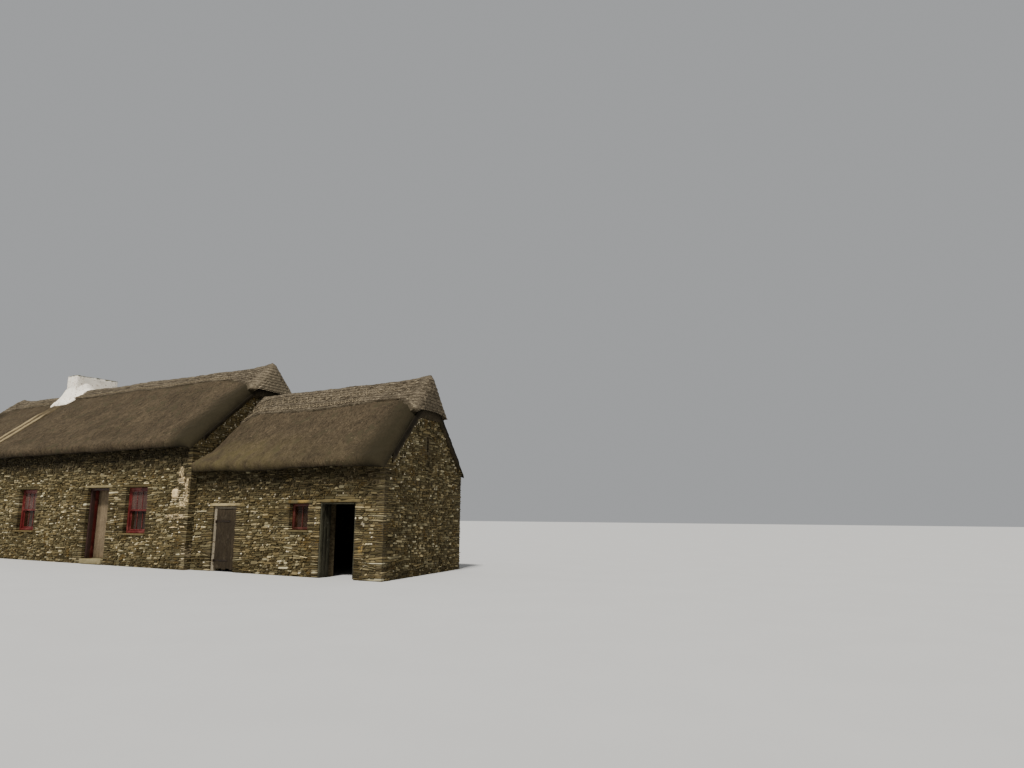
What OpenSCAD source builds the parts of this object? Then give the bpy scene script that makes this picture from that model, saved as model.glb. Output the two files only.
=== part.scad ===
// A row of three stone rooms under thatch: an end room, the house and a lower byre.
// X runs along the row, Y into its depth and Z up. The origin is at ground level, in the
// front face of the house wall, below the middle of the house doorway.

/* [House] */
// From the middle of the doorway to the outer face of the east gable
house_east = 4100; // [3500:10:5200]
// From the middle of the doorway to the hearth wall
house_west = 6080; // [5200:10:7400]
// Depth of the house over its walls
house_depth = 5620; // [4700:10:6750]
// Height of the house walls at their outer edge
house_wall_h = 3230; // [2950:10:3700]
// Thickness of the house walls
wall_t = 600; // [480:10:720]
// Slope of the house roof in degrees
house_pitch = 40; // [36:1:45]
// Slope of the end room's roof in degrees
room_pitch = 38.5; // [35:0.5:40]
// Thickness of the hearth wall between the house and the end room
hearth_t = 640; // [520:10:780]
// Length of the end room over its gable
room_len = 3890; // [3300:10:4700]
// How far the house's east gable leans back out of square, in degrees
house_skew = 6.5; // [0:0.1:9]

/* [Byre] */
// Length of the byre along its front
byre_len = 6400; // [6000:10:7700]
// Depth of the byre over its walls
byre_depth = 4380; // [3700:10:4900]
// How far the byre front stands behind the house front
byre_setback = 210; // [120:10:400]
// Height of the byre walls at their outer edge
byre_wall_h = 2570; // [2300:10:2740]
// Thickness of the byre walls
byre_wall_t = 550; // [450:10:660]
// Slope of the byre roof in degrees
byre_pitch = 42.5; // [38:0.5:46]
// How far the end gable leans back out of square, in degrees
byre_skew = 11.4; // [0:0.1:14]

/* [Thatch] */
// Thickness of the thatch, square to the slope
thatch_t = 280; // [230:5:340]
// Overhang of the thatch at the eaves, along the slope
eave_over = 150; // [90:5:190]
// Overhang of the thatch past a gable
verge_over = 25; // [15:5:60]
// Length over which the thatch rolls down to the gable at the eaves
verge_roll = 520; // [350:10:650]
// Length over which the end room's thatch rolls down to the gable at the ridge
room_crown = 380; // [250:10:470]
// Length over which the house's and the byre's thatch roll down to the gable at the ridge
crown_roll = 100; // [60:10:200]
// Thickness of the ridge cap
cap_t = 50; // [35:5:70]
// Half width of the ridge cap on the house and the end room
house_cap_half = 560; // [500:10:650]
// Half width of the ridge cap on the byre
byre_cap_half = 740; // [600:10:820]
// Rise of the ridge cap's crown towards the gable
cap_rise = 90; // [50:5:130]
// Drop of the hood rim below the top of the ridge
hood_drop = 890; // [780:10:1000]
// How far the hood rim stands out from the gable
hood_out = 150; // [110:10:200]

/* [Chimney] */
// Depth of the chimney stack across the ridge
stack_depth = 1600; // [1300:10:1900]
// How far the stack stands in front of the ridge
stack_front = 400; // [300:10:700]
// Height of the stack above the ridge of the thatch
stack_h = 600; // [450:10:800]
// Reach of the lime skirt over the thatch round the stack
skirt_reach = 250; // [150:10:330]

/* [Openings] */
// Width of the house doorway
door_w = 1030; // [850:10:1240]
// Head of the house doorway above the ground
door_head = 2160; // [1950:10:2350]
// Height of the house threshold above the ground
door_sill = 150; // [80:10:200]
// Width of the sash windows
window_w = 950; // [800:10:1100]
// Height of the sash windows
window_h = 1260; // [1050:10:1400]
// Height of the window sills above the ground
window_sill = 895; // [750:5:1000]
// Middle of the east window from the middle of the doorway
window_east_x = 1820; // [1600:10:2300]
// Middle of the west window from the middle of the doorway
window_west_x = 3745; // [2600:5:4200]
// Width of the open byre doorway
doorway_w = 1060; // [880:10:1150]
// Height of the open byre doorway
doorway_h = 1720; // [1500:10:1900]
// Middle of the open doorway from the east corner of the byre
doorway_from_end = 1380; // [1250:10:1500]
// Width of the opening for the byre door
byre_door_w = 855; // [780:5:980]
// Height of the opening for the byre door
byre_door_h = 1635; // [1500:5:1800]
// Middle of the byre door from the house gable
byre_door_from_house = 1150; // [1000:10:1300]
// Width of the byre window
byre_window_w = 590; // [480:10:700]
// Height of the byre window
byre_window_h = 625; // [500:5:750]
// Height of the byre window's sill above the ground
byre_window_sill = 1075; // [950:5:1150]
// Middle of the byre window from the east corner of the byre
byre_window_from_end = 2625; // [2500:5:2800]

/* [Joinery] */
// Width of the door and window frames
frame_w = 65; // [50:1:80]
// Depth of the door and window frames
frame_d = 100; // [80:1:120]
// Depth of the reveal in front of the house door's frame
door_reveal = 100; // [40:5:150]
// Depth at which the house door's leaf hangs
door_recess = 320; // [250:5:380]
// Depth of the reveal in front of the windows
window_recess = 110; // [60:5:200]
// Thickness of the door leaves
leaf_t = 45; // [35:1:55]
// Gap round a door leaf
leaf_gap = 9; // [8:1:14]
// Width of the byre door's hanging post
post_w = 100; // [80:1:120]
// Radius of the hinge pins
pin_r = 8; // [6:0.5:10]

/* [Hidden] */

$fn = 48;

stone = [0.46, 0.42, 0.36];
thatch = [0.30, 0.26, 0.20];
cap_straw = [0.42, 0.36, 0.27];
lime = [0.88, 0.86, 0.80];
slate = [0.40, 0.40, 0.40];
crimson = [0.55, 0.08, 0.10];
grey_board = [0.72, 0.71, 0.68];
dark_board = [0.30, 0.28, 0.26];
pale_post = [0.68, 0.62, 0.50];
iron = [0.18, 0.17, 0.17];
pole = [0.42, 0.33, 0.22];

// Places along the row
house_x1 = house_east;
house_x0 = -house_west;
hearth_x0 = house_x0 - hearth_t;
room_x0 = hearth_x0 - room_len;
byre_x1 = house_x1 + byre_len;
byre_y0 = byre_setback;
house_k = tan(house_skew);
byre_k = tan(byre_skew);

// Overshoot of the cuts, and the clearance between parts that bear on each other
over = 1;
bed = 0.2;

// A roof is [ridge y, half depth over the walls, wall height, pitch, roll at the crown,
// half width of its ridge cap]
house_roof = [house_depth / 2, house_depth / 2, house_wall_h, house_pitch, crown_roll, house_cap_half];
room_roof = [house_depth / 2, house_depth / 2, house_wall_h, room_pitch, room_crown, house_cap_half];
byre_roof = [byre_y0 + byre_depth / 2, byre_depth / 2, byre_wall_h, byre_pitch, crown_roll,
    byre_cap_half];

function ridge_y(r) = r[0];
function half(r) = r[1];
function wall_h(r) = r[2];
function pitch(r) = r[3];
function crown(r) = r[4];
function cap_half(r) = r[5];
function lift_t(r) = thatch_t / cos(pitch(r));

// Height of the underside of the thatch at a distance s from the ridge line
function under_z(r, s) = wall_h(r) + (half(r) - abs(s)) * tan(pitch(r));

// The same for the top of the thatch, which is rounded over the ridge
ridge_round = 100;
function top_z(r, s, k = 1) =
    wall_h(r) + (half(r) - sqrt(s * s + ridge_round * ridge_round)) * tan(pitch(r)) + k * lift_t(r);
function crest_z(r) = top_z(r, 0) + cap_t;

// Points of the thatch's section, from the front eave over the ridge to the rear eave.
// Each has its distance from the ridge line and its height; k thins the thatch at a verge.
// Near the ridge its points are those of the ridge cap's edge and columns.
nose_steps = 6;
nose_lip = 18;
nose_pitch = 12;
slope_share = 0.8;
crown_shares = [1, 0.55, 0.27, 0.11];
inner_shares = [0.8, 0.5, 0.2, 0.12, 0.05];
function hood_z(r) = crest_z(r) - hood_drop;
function hood_half(r, k) = half(r) - (hood_z(r) - wall_h(r) - k * lift_t(r)) / tan(pitch(r));
function nose_outer(r, k, a) =
    let (u = thatch_t / 2 * (1 - cos(a)) - eave_over, v = k * thatch_t / 2 * (1 + sin(a)))
    [half(r) - u * cos(pitch(r)) + v * sin(pitch(r)), wall_h(r) + u * sin(pitch(r)) + v * cos(pitch(r))];
function nose_inner(r, i) =
    let (u = thatch_t / 2 - eave_over + nose_lip + nose_pitch * i)
    [half(r) - u * cos(pitch(r)), wall_h(r) + u * sin(pitch(r)) + bed];
function half_outer(r, k) = concat(
    [for (i = [0:nose_steps]) nose_outer(r, k, -90 + 180 * i / nose_steps)],
    [for (s = concat([slope_share * half(r)], crown_shares * hood_half(r, k))) [s, top_z(r, s, k)]]);
function half_inner(r) = concat(
    [for (i = [0:nose_steps]) nose_inner(r, i)],
    [for (f = inner_shares) [f * half(r), under_z(r, f * half(r)) + bed]]);
function both_sides(h, peak) = concat(
    [for (p = h) [-p[0], p[1]]],
    [peak],
    [for (i = [len(h) - 1:-1:0]) h[i]]);
function section_outer(r, k) = both_sides(half_outer(r, k), [0, top_z(r, 0, k)]);
function section_inner(r) = both_sides(half_inner(r), [0, under_z(r, 0) + bed]);

// Length of the roll at a verge, from the crown to the eaves
function roll_len(r, s) = crown(r) + (verge_roll - crown(r)) * min(1, abs(s) / half(r));
roll_angles = [0, 22, 42, 58, 70, 79];
function roll_x(r, s, a) = roll_len(r, s) * (1 - sin(a));

// A closed sheet between two grids of points, outer above inner
module sheet(outer, inner) {
    n = len(outer);
    m = len(outer[0]);
    pts = concat([for (row = outer) for (p = row) p], [for (row = inner) for (p = row) p]);
    function o(j, i) = j * m + i;
    function q(j, i) = n * m + j * m + i;
    faces = concat(
        [for (j = [0:n - 2]) for (i = [0:m - 2]) [o(j, i), o(j, i + 1), o(j + 1, i + 1)]],
        [for (j = [0:n - 2]) for (i = [0:m - 2]) [o(j, i), o(j + 1, i + 1), o(j + 1, i)]],
        [for (j = [0:n - 2]) for (i = [0:m - 2]) [q(j, i), q(j + 1, i + 1), q(j, i + 1)]],
        [for (j = [0:n - 2]) for (i = [0:m - 2]) [q(j, i), q(j + 1, i), q(j + 1, i + 1)]],
        [for (j = [0:n - 2]) [o(j, 0), o(j + 1, 0), q(j + 1, 0)]],
        [for (j = [0:n - 2]) [o(j, 0), q(j + 1, 0), q(j, 0)]],
        [for (j = [0:n - 2]) [o(j, m - 1), q(j, m - 1), q(j + 1, m - 1)]],
        [for (j = [0:n - 2]) [o(j, m - 1), q(j + 1, m - 1), o(j + 1, m - 1)]],
        [for (i = [0:m - 2]) [o(0, i), q(0, i), q(0, i + 1)]],
        [for (i = [0:m - 2]) [o(0, i), q(0, i + 1), o(0, i + 1)]],
        [for (i = [0:m - 2]) [o(n - 1, i), o(n - 1, i + 1), q(n - 1, i + 1)]],
        [for (i = [0:m - 2]) [o(n - 1, i), q(n - 1, i + 1), q(n - 1, i)]]);
    polyhedron(points = pts, faces = faces, convexity = 6);
}

// Thatch from a plain end at x = plain_x to a rolled verge over a gable at x = gable_x.
// dir is 1 when the gable is the east end; k_skew turns the gable out of square and
// k_plain the plain end.
function along(r, gable_x, dir, k_skew, s) =
    gable_x + dir * verge_over - k_skew * (s + half(r));
function verge_row(r, gable_x, dir, k_skew, sec, a) =
    [for (p = sec)
        [along(r, gable_x, dir, k_skew, p[0]) - dir * roll_x(r, p[0], a), ridge_y(r) + p[0], p[1]]];
function plain_row(r, x, sec, k_plain = 0) =
    [for (p = sec) [x - k_plain * (ridge_y(r) + p[0]), ridge_y(r) + p[0], p[1]]];
function in_order(rows, dir) = dir > 0 ? rows : [for (i = [len(rows) - 1:-1:0]) rows[i]];

// The thatch is laid slope by slope, and the slopes meet under the ridge cap
function one_slope(rows, side) =
    let (m = (len(rows[0]) - 1) / 2)
    [for (row = rows)
        [for (i = side < 0 ? [0:m] : [m:2 * m])
            i == m ? [row[i][0], row[i][1] + side * bed, row[i][2]] : row[i]]];

module thatch_body(r, plain_x, gable_x, dir, k_skew = 0, k_plain = 0) {
    outer = concat(
        [plain_row(r, plain_x, section_outer(r, 1), k_plain)],
        [for (a = roll_angles) verge_row(r, gable_x, dir, k_skew, section_outer(r, cos(a)), a)]);
    inner = concat(
        [plain_row(r, plain_x, section_inner(r), k_plain)],
        [for (a = roll_angles) verge_row(r, gable_x, dir, k_skew, section_inner(r), a)]);
    for (side = [-1, 1])
        sheet(one_slope(in_order(outer, dir), side), one_slope(in_order(inner, dir), side));
}

// The ridge cap: a band over the ridge that widens and rises towards the gable, follows the
// roll and hangs over the gable as a hood with a slightly arched rim
cap_seat = 1;
hood_lip = 110;
flare_len = 650;
flare_steps = 4;
hood_shares = [0.3, 0.65, 1];
edge_drop = 40;
rim_drop = 65;
rim_arch = 80;
column_share = 0.8;
function mirrored(c) = concat([for (s = c) -s], [0], [for (i = [len(c) - 1:-1:0]) c[i]]);
function hood_s(r, k) = mirrored(crown_shares * hood_half(r, k));
function cap_s(r, w) =
    let (c = crown_shares * hood_half(r, 1))
    mirrored([w, min(c[1], column_share * w), c[2], c[3]]);
function cap_width(r, t) = cap_half(r) + (hood_half(r, 1) - cap_half(r)) * (1 - cos(180 * t)) / 2;
function cap_rise_at(s, w, t) = cap_t + cap_rise * t * t * (1 - abs(s) / w);
function last_angle() = roll_angles[len(roll_angles) - 1];

// The hood's outer skin reaches past the seat's columns, down to the level of its rim
function hood_wide(r, a) = 1 + sin(a) * (cap_t + edge_drop) / tan(pitch(r)) / hood_half(r, cos(a));
function hood_cols(r, a, outer) = (outer ? hood_wide(r, a) : 1) * hood_s(r, cos(a));
function hood_rise(r, s, a) =
    cap_t + cap_rise * cos(a) * (1 - abs(s) / hood_half(r, cos(a)) / hood_wide(r, a));
function hood_top_z(r, s, a, outer) = top_z(r, s, cos(a)) + (outer ? hood_rise(r, s, a) : cap_seat);

function cap_plain(r, x, outer, k_plain) =
    [for (s = cap_s(r, cap_half(r)))
        [x - k_plain * (ridge_y(r) + s), ridge_y(r) + s, top_z(r, s) + (outer ? cap_t : cap_seat)]];
function cap_flare(r, gable_x, dir, k_skew, t, outer) =
    let (w = cap_width(r, t))
    [for (s = cap_s(r, w))
        [along(r, gable_x, dir, k_skew, s) - dir * (roll_x(r, s, 0) + flare_len * (1 - t)),
         ridge_y(r) + s, top_z(r, s) + (outer ? cap_rise_at(s, w, t) : cap_seat)]];
function cap_roll(r, gable_x, dir, k_skew, a, outer) =
    let (lip = (outer ? hood_lip : cap_seat) * sin(a))
    [for (s = hood_cols(r, a, outer))
        [along(r, gable_x, dir, k_skew, s) - dir * (roll_x(r, s, a) - lip),
         ridge_y(r) + s, hood_top_z(r, s, a, outer)]];
function hood_row(r, gable_x, dir, k_skew, t, outer) =
    let (a = last_angle(), c = hood_cols(r, a, outer),
         out = outer ? hood_lip + (hood_out - verge_over - hood_lip) * t : cap_seat)
    [for (s = c)
        let (z = hood_top_z(r, s, a, outer),
             rim = hood_z(r) - rim_drop + rim_arch * (1 - s * s / c[0] / c[0]))
        [along(r, gable_x, dir, k_skew, s) + dir * out, ridge_y(r) + s, z + (rim - z) * t]];
function cap_rows(r, plain_x, gable_x, dir, k_skew, outer, k_plain) = concat(
    [cap_plain(r, plain_x, outer, k_plain)],
    [for (i = [0:flare_steps - 1]) cap_flare(r, gable_x, dir, k_skew, i / flare_steps, outer)],
    [for (a = roll_angles) cap_roll(r, gable_x, dir, k_skew, a, outer)],
    [for (t = hood_shares) hood_row(r, gable_x, dir, k_skew, t, outer)]);

module ridge_cap(r, plain_x, gable_x, dir, k_skew = 0, k_plain = 0) {
    sheet(in_order(cap_rows(r, plain_x, gable_x, dir, k_skew, true, k_plain), dir),
          in_order(cap_rows(r, plain_x, gable_x, dir, k_skew, false, k_plain), dir));
}

// An outline in the YZ plane pushed along X
module along_x(x0, x1) {
    translate([x0, 0, 0])
        rotate([90, 0, 90])
            linear_extrude(x1 - x0)
                children();
}

// Everything below the top of the thatch, used to seat what stands on it
module roof_mass(r, x0, x1, lift = 0) {
    pts = [for (p = section_outer(r, 1)) [ridge_y(r) + p[0], p[1] + lift]];
    along_x(x0, x1) polygon(pts);
}

// Outline of a long wall: its head slopes with the roof
module wall_section(r, t, side) {
    y_out = ridge_y(r) + side * half(r);
    y_in = y_out - side * t;
    polygon([[y_out, 0], [y_in, 0], [y_in, under_z(r, half(r) - t)], [y_out, wall_h(r)]]);
}

// Outline of a gable or cross wall between the faces of the long walls, set in from each by inset
module gable_section(r, inset) {
    s = half(r) - inset;
    y = ridge_y(r);
    polygon([[y - s, 0], [y + s, 0], [y + s, under_z(r, s)], [y, under_z(r, 0)], [y - s, under_z(r, s)]]);
}

// A gable out of square turns about the corner x, y of its front wall. Everything beyond its
// outer face, or beyond a face set off from it along the row:
far = 2 * byre_len;
tall = 3 * house_wall_h;
module beyond(x, y, skew, offset = 0) {
    translate([x + offset, y, -over])
        rotate([0, 0, skew])
            translate([0, -far, 0])
                cube([far, 2 * far, tall]);
}

// The gable itself, a slab of thickness t behind its outer face
module end_gable(r, x, y, skew, t) {
    intersection() {
        along_x(x - far / 2, x + over) gable_section(r, t);
        translate([x, y, -over])
            rotate([0, 0, skew])
                translate([-t, -far, 0])
                    cube([t, 2 * far, tall]);
    }
}

module beyond_house(offset = 0) {
    beyond(house_x1, 0, house_skew, offset);
}

module beyond_byre(offset = 0) {
    beyond(byre_x1, byre_y0, byre_skew, offset);
}

// Cuts and pieces round an opening in a front wall
lintel_h = 80;
lintel_bear = 150;
lintel_proud = 18;
sill_h = 55;
sill_proud = 45;
sill_bear = 60;

module opening_cut(x, y, w, z0, z1, depth) {
    translate([x - w / 2, y - over, z0])
        cube([w, depth + 2 * over, z1 - z0]);
}

module lintel(x, y, w, z, depth) {
    translate([x - w / 2 - lintel_bear, y - lintel_proud, z])
        cube([w + 2 * lintel_bear, depth + lintel_proud, lintel_h]);
}

module sill(x, y, w, z, depth) {
    translate([x - w / 2 - sill_bear, y - sill_proud, z - sill_h])
        cube([w + 2 * sill_bear, depth + sill_proud, sill_h]);
}

room_window_x = (room_x0 + wall_t + hearth_x0) / 2;
doorway_x = byre_x1 - doorway_from_end;
byre_door_x = house_x1 + byre_door_from_house;
byre_window_x = byre_x1 - byre_window_from_end;
sill_depth = window_recess + frame_d;

// Every opening as [middle x, front face y, width, foot, head, wall thickness]
house_door_hole = [0, 0, door_w, 0, door_head, wall_t];
east_window_hole = [window_east_x, 0, window_w, window_sill, window_sill + window_h, wall_t];
west_window_hole = [-window_west_x, 0, window_w, window_sill, window_sill + window_h, wall_t];
room_window_hole = [room_window_x, 0, window_w, window_sill, window_sill + window_h, wall_t];
doorway_hole = [doorway_x, byre_y0, doorway_w, 0, doorway_h, byre_wall_t];
byre_door_hole = [byre_door_x, byre_y0, byre_door_w, 0, byre_door_h, byre_wall_t];
byre_window_hole = [byre_window_x, byre_y0, byre_window_w, byre_window_sill,
    byre_window_sill + byre_window_h, byre_wall_t];
holes = [house_door_hole, east_window_hole, west_window_hole, room_window_hole,
    doorway_hole, byre_door_hole, byre_window_hole];
windows = [east_window_hole, west_window_hole, room_window_hole, byre_window_hole];

module all_lintels() {
    for (h = holes)
        lintel(h[0], h[1], h[2], h[4], h[5]);
}

module all_sills() {
    for (h = windows)
        sill(h[0], h[1], h[2], h[3], sill_depth);
}

module front_wall_piece(r, t, x0, x1) {
    difference() {
        along_x(x0, x1) wall_section(r, t, -1);
        for (h = holes)
            opening_cut(h[0], h[1], h[2], h[3] - (h[3] > 0 ? 0 : over), h[4], h[5]);
        all_lintels();
        all_sills();
    }
}

module head_piece(r, t, h) {
    difference() {
        along_x(h[0] - h[2] / 2, h[0] + h[2] / 2) wall_section(r, t, -1);
        translate([h[0] - h[2], h[1] - t, -over])
            cube([2 * h[2], 3 * t, h[4] + over]);
        all_lintels();
    }
}

module room_front_wall() {
    color(stone) front_wall_piece(room_roof, wall_t, room_x0, hearth_x0);
}

module room_back_wall() {
    color(stone) along_x(room_x0, hearth_x0) wall_section(room_roof, wall_t, 1);
}

module room_end_gable() {
    color(stone) along_x(room_x0, room_x0 + wall_t) gable_section(room_roof, wall_t);
}

module hearth_wall() {
    color(stone) along_x(hearth_x0, house_x0) gable_section(house_roof, 0);
}

module house_front_west() {
    color(stone) front_wall_piece(house_roof, wall_t, house_x0, -door_w / 2);
}

module house_front_east() {
    color(stone)
        difference() {
            front_wall_piece(house_roof, wall_t, door_w / 2, house_x1 + over);
            beyond_house();
        }
}

module house_door_head() {
    color(stone) head_piece(house_roof, wall_t, house_door_hole);
}

module house_back_wall() {
    color(stone)
        difference() {
            along_x(house_x0, house_x1) wall_section(house_roof, wall_t, 1);
            beyond_house();
        }
}

module house_end_gable() {
    color(stone) end_gable(house_roof, house_x1, 0, house_skew, wall_t);
}

// The byre's walls and roof start at the house's gable
byre_run = house_depth * house_k;
byre_x0 = house_x1 - byre_run;

module byre_front_west() {
    color(stone)
        intersection() {
            front_wall_piece(byre_roof, byre_wall_t, byre_x0, byre_door_x - byre_door_w / 2);
            beyond_house();
        }
}

module byre_front_middle() {
    color(stone)
        front_wall_piece(byre_roof, byre_wall_t, byre_door_x + byre_door_w / 2, doorway_x - doorway_w / 2);
}

module byre_front_east() {
    color(stone)
        difference() {
            front_wall_piece(byre_roof, byre_wall_t, doorway_x + doorway_w / 2, byre_x1 + over);
            beyond_byre();
        }
}

module byre_door_head() {
    color(stone) head_piece(byre_roof, byre_wall_t, byre_door_hole);
}

module byre_doorway_head() {
    color(stone) head_piece(byre_roof, byre_wall_t, doorway_hole);
}

module byre_back_wall() {
    color(stone)
        difference() {
            intersection() {
                along_x(byre_x0, byre_x1) wall_section(byre_roof, byre_wall_t, 1);
                beyond_house();
            }
            beyond_byre();
        }
}

slit_w = 90;
slit_h = 375;
slit_head = 3390;

// The byre's gable is built in lifts below, beside and over its slit
module byre_end_gable() {
    foot = slit_head - slit_h;
    lifts = [[-byre_depth, byre_depth, -over, foot - bed],
        [-byre_depth, -slit_w / 2, foot, slit_head],
        [slit_w / 2, byre_depth, foot, slit_head],
        [-byre_depth, byre_depth, slit_head + bed, tall]];
    color(stone)
        for (l = lifts)
            intersection() {
                end_gable(byre_roof, byre_x1, byre_y0, byre_skew, byre_wall_t);
                translate([house_x1, ridge_y(byre_roof) + l[0], l[2]])
                    cube([byre_len + over, l[1] - l[0], l[3] - l[2]]);
            }
}

module room_thatch() {
    color(thatch) thatch_body(room_roof, hearth_x0, room_x0, -1);
}

module house_thatch() {
    color(thatch) thatch_body(house_roof, house_x0, house_x1, 1, house_k);
}

module byre_thatch() {
    color(thatch) thatch_body(byre_roof, house_x1 + bed, byre_x1, 1, byre_k, house_k);
}

// The stack stands on the hearth wall and passes through the strip of roof over it
stack_y0 = ridge_y(house_roof) - stack_front;
stack_y1 = stack_y0 + stack_depth;
stack_top = top_z(house_roof, 0) + stack_h;
flue_w = 300;
flue_l = 800;
flue_depth = 700;

module stack_block() {
    translate([hearth_x0, stack_y0, house_wall_h])
        cube([hearth_t, stack_depth, stack_top - house_wall_h]);
}

module chimney_stack() {
    color(lime)
        difference() {
            stack_block();
            along_x(hearth_x0 - over, house_x0 + over) gable_section(house_roof, 0);
            translate([(hearth_x0 + house_x0 - flue_w) / 2, (stack_y0 + stack_y1 - flue_l) / 2,
                       stack_top - flue_depth])
                cube([flue_w, flue_l, flue_depth + over]);
        }
}

// The joint of the two roofs over the hearth wall: two rolls with a groove between them.
// Each row has its share of the width and its share of the rolls' rise.
roll_rise = 60;
groove_rise = 12;
joint_rows = [[0, 0.4], [0.06, 0.8], [0.16, 1], [0.26, 0.8], [0.36, 0],
    [0.64, 0], [0.74, 0.8], [0.84, 1], [0.94, 0.8], [1, 0.4]];
function joint_k(share) = 1 + (groove_rise + (roll_rise - groove_rise) * share) / thatch_t;
function joint_x(share) = hearth_x0 + hearth_t * share;

module joint_body() {
    sheet([for (j = joint_rows)
              plain_row(house_roof, joint_x(j[0]), section_outer(house_roof, joint_k(j[1])))],
          [for (j = joint_rows) plain_row(house_roof, joint_x(j[0]), section_inner(house_roof))]);
}

module roof_joint() {
    color(thatch)
        difference() {
            joint_body();
            stack_block();
        }
}

// The lime skirt lies on the thatch round the stack and sweeps up its faces in a hollow curve.
// Its grid follows the stack's outline in rings, from the stack outwards.
skirt_up = 420;
skirt_edge = 30;
skirt_foot = house_wall_h + thatch_t;
skirt_rings = [0, 0.08, 0.2, 0.36, 0.56, 0.78, 1];
skirt_inner = 1;
corner_step = 30;
function roof_at(y) = top_z(house_roof, y - ridge_y(house_roof));
function corner(x, y, a0) = [for (a = [a0:corner_step:a0 + 90]) [x, y, a]];
function flank_ys() = concat(
    [for (i = [1:3]) stack_y0 + stack_front * i / 3],
    [for (i = [1:5]) ridge_y(house_roof) + (stack_depth - stack_front) * i / 6]);
function stack_outline() =
    let (ys = flank_ys(), n = len(ys) - 1)
    concat(corner(house_x0, stack_y0, -90), [for (y = ys) [house_x0, y, 0]],
           corner(house_x0, stack_y1, 0), corner(hearth_x0, stack_y1, 90),
           [for (i = [n:-1:0]) [hearth_x0, ys[i], 180]], corner(hearth_x0, stack_y0, 180));
function skirt_ring(share) =
    let (d = skirt_inner + (skirt_reach - skirt_inner) * share)
    [for (p = stack_outline())
        let (y = p[1] + d * sin(p[2]))
        [p[0] + d * cos(p[2]), y, roof_at(y) + skirt_edge + skirt_up * pow(1 - share, 2)]];

module skirt_body() {
    m = len(stack_outline());
    n = len(skirt_rings);
    last = skirt_ring(1);
    peak = [(hearth_x0 + house_x0) / 2, (stack_y0 + stack_y1) / 2, stack_top];
    pts = concat([for (share = skirt_rings) for (p = skirt_ring(share)) p],
        [for (p = last) [p[0], p[1], skirt_foot]], [peak]);
    faces = concat(
        [for (j = [0:n - 1]) for (i = [0:m - 1])
            [j * m + i, j * m + (i + 1) % m, (j + 1) * m + (i + 1) % m]],
        [for (j = [0:n - 1]) for (i = [0:m - 1])
            [j * m + i, (j + 1) * m + (i + 1) % m, (j + 1) * m + i]],
        [for (i = [0:m - 1]) [(n + 1) * m, (i + 1) % m, i]],
        [[for (i = [0:m - 1]) n * m + i]]);
    polyhedron(points = pts, faces = faces, convexity = 6);
}

module chimney_skirt() {
    color(lime)
        difference() {
            skirt_body();
            roof_mass(room_roof, room_x0, hearth_x0, bed);
            roof_mass(house_roof, hearth_x0, house_x1, bed);
            translate([0, 0, bed])
                joint_body();
            stack_block();
        }
}

module room_ridge_cap() {
    color(cap_straw) ridge_cap(room_roof, hearth_x0 - skirt_reach, room_x0, -1);
}

module house_ridge_cap() {
    color(cap_straw) ridge_cap(house_roof, house_x0 + skirt_reach, house_x1, 1, house_k);
}

module byre_ridge_cap() {
    color(cap_straw) ridge_cap(byre_roof, house_x1 + bed, byre_x1, 1, byre_k, house_k);
}

module stone_lintels() {
    color(stone) all_lintels();
}

module window_sills() {
    color(slate) all_sills();
}

// A sash window: frame, two sashes one behind the other and the glass in them
sash_w = 48;
sash_t = 40;
sash_set = 10;
glass_t = 4;

module ring(w, h, bar, t) {
    difference() {
        cube([w, t, h]);
        translate([bar, -over, bar])
            cube([w - 2 * bar, t + 2 * over, h - 2 * bar]);
    }
}

module sash_window(h) {
    w = h[2];
    tall = h[4] - h[3];
    inner_w = w - 2 * frame_w;
    half_h = (tall - 2 * frame_w + sash_w) / 2;
    color(crimson)
        translate([h[0] - w / 2, h[1] + window_recess, h[3]]) {
            ring(w, tall, frame_w, frame_d);
            translate([frame_w, sash_set, tall - frame_w - half_h])
                ring(inner_w, half_h, sash_w, sash_t);
            translate([frame_w, sash_set + sash_t, frame_w])
                ring(inner_w, half_h, sash_w, sash_t);
        }
}

module sash_glass(h) {
    w = h[2];
    tall = h[4] - h[3];
    inner_w = w - 2 * frame_w;
    half_h = (tall - 2 * frame_w + sash_w) / 2;
    pane = [inner_w - 2 * sash_w, glass_t, half_h - 2 * sash_w];
    x = h[0] - w / 2 + frame_w + sash_w;
    y = h[1] + window_recess + sash_set + (sash_t - glass_t) / 2;
    translate([x, y, h[3] + tall - frame_w - half_h + sash_w])
        cube(pane);
    translate([x, y + sash_t, h[3] + frame_w + sash_w])
        cube(pane);
}

module room_window() {
    sash_window(room_window_hole);
}

module west_window() {
    sash_window(west_window_hole);
}

module east_window() {
    sash_window(east_window_hole);
}

// The byre window is a single fixed light
module byre_window() {
    h = byre_window_hole;
    color(crimson)
        translate([h[0] - h[2] / 2, h[1] + window_recess, h[3]])
            ring(h[2], h[4] - h[3], frame_w, frame_d);
}

module window_glass() {
    h = byre_window_hole;
    color("lightblue", 0.4) {
        sash_glass(room_window_hole);
        sash_glass(west_window_hole);
        sash_glass(east_window_hole);
        translate([h[0] - h[2] / 2 + frame_w, h[1] + window_recess + (frame_d - glass_t) / 2,
                   h[3] + frame_w])
            cube([h[2] - 2 * frame_w, glass_t, h[4] - h[3] - 2 * frame_w]);
    }
}

// The house door: a deep frame with a stop, and a boarded leaf hung on the west post that
// opens inwards
stop_w = 18;
leaf_y0 = door_recess;
leaf_y1 = leaf_y0 + leaf_t;

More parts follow.
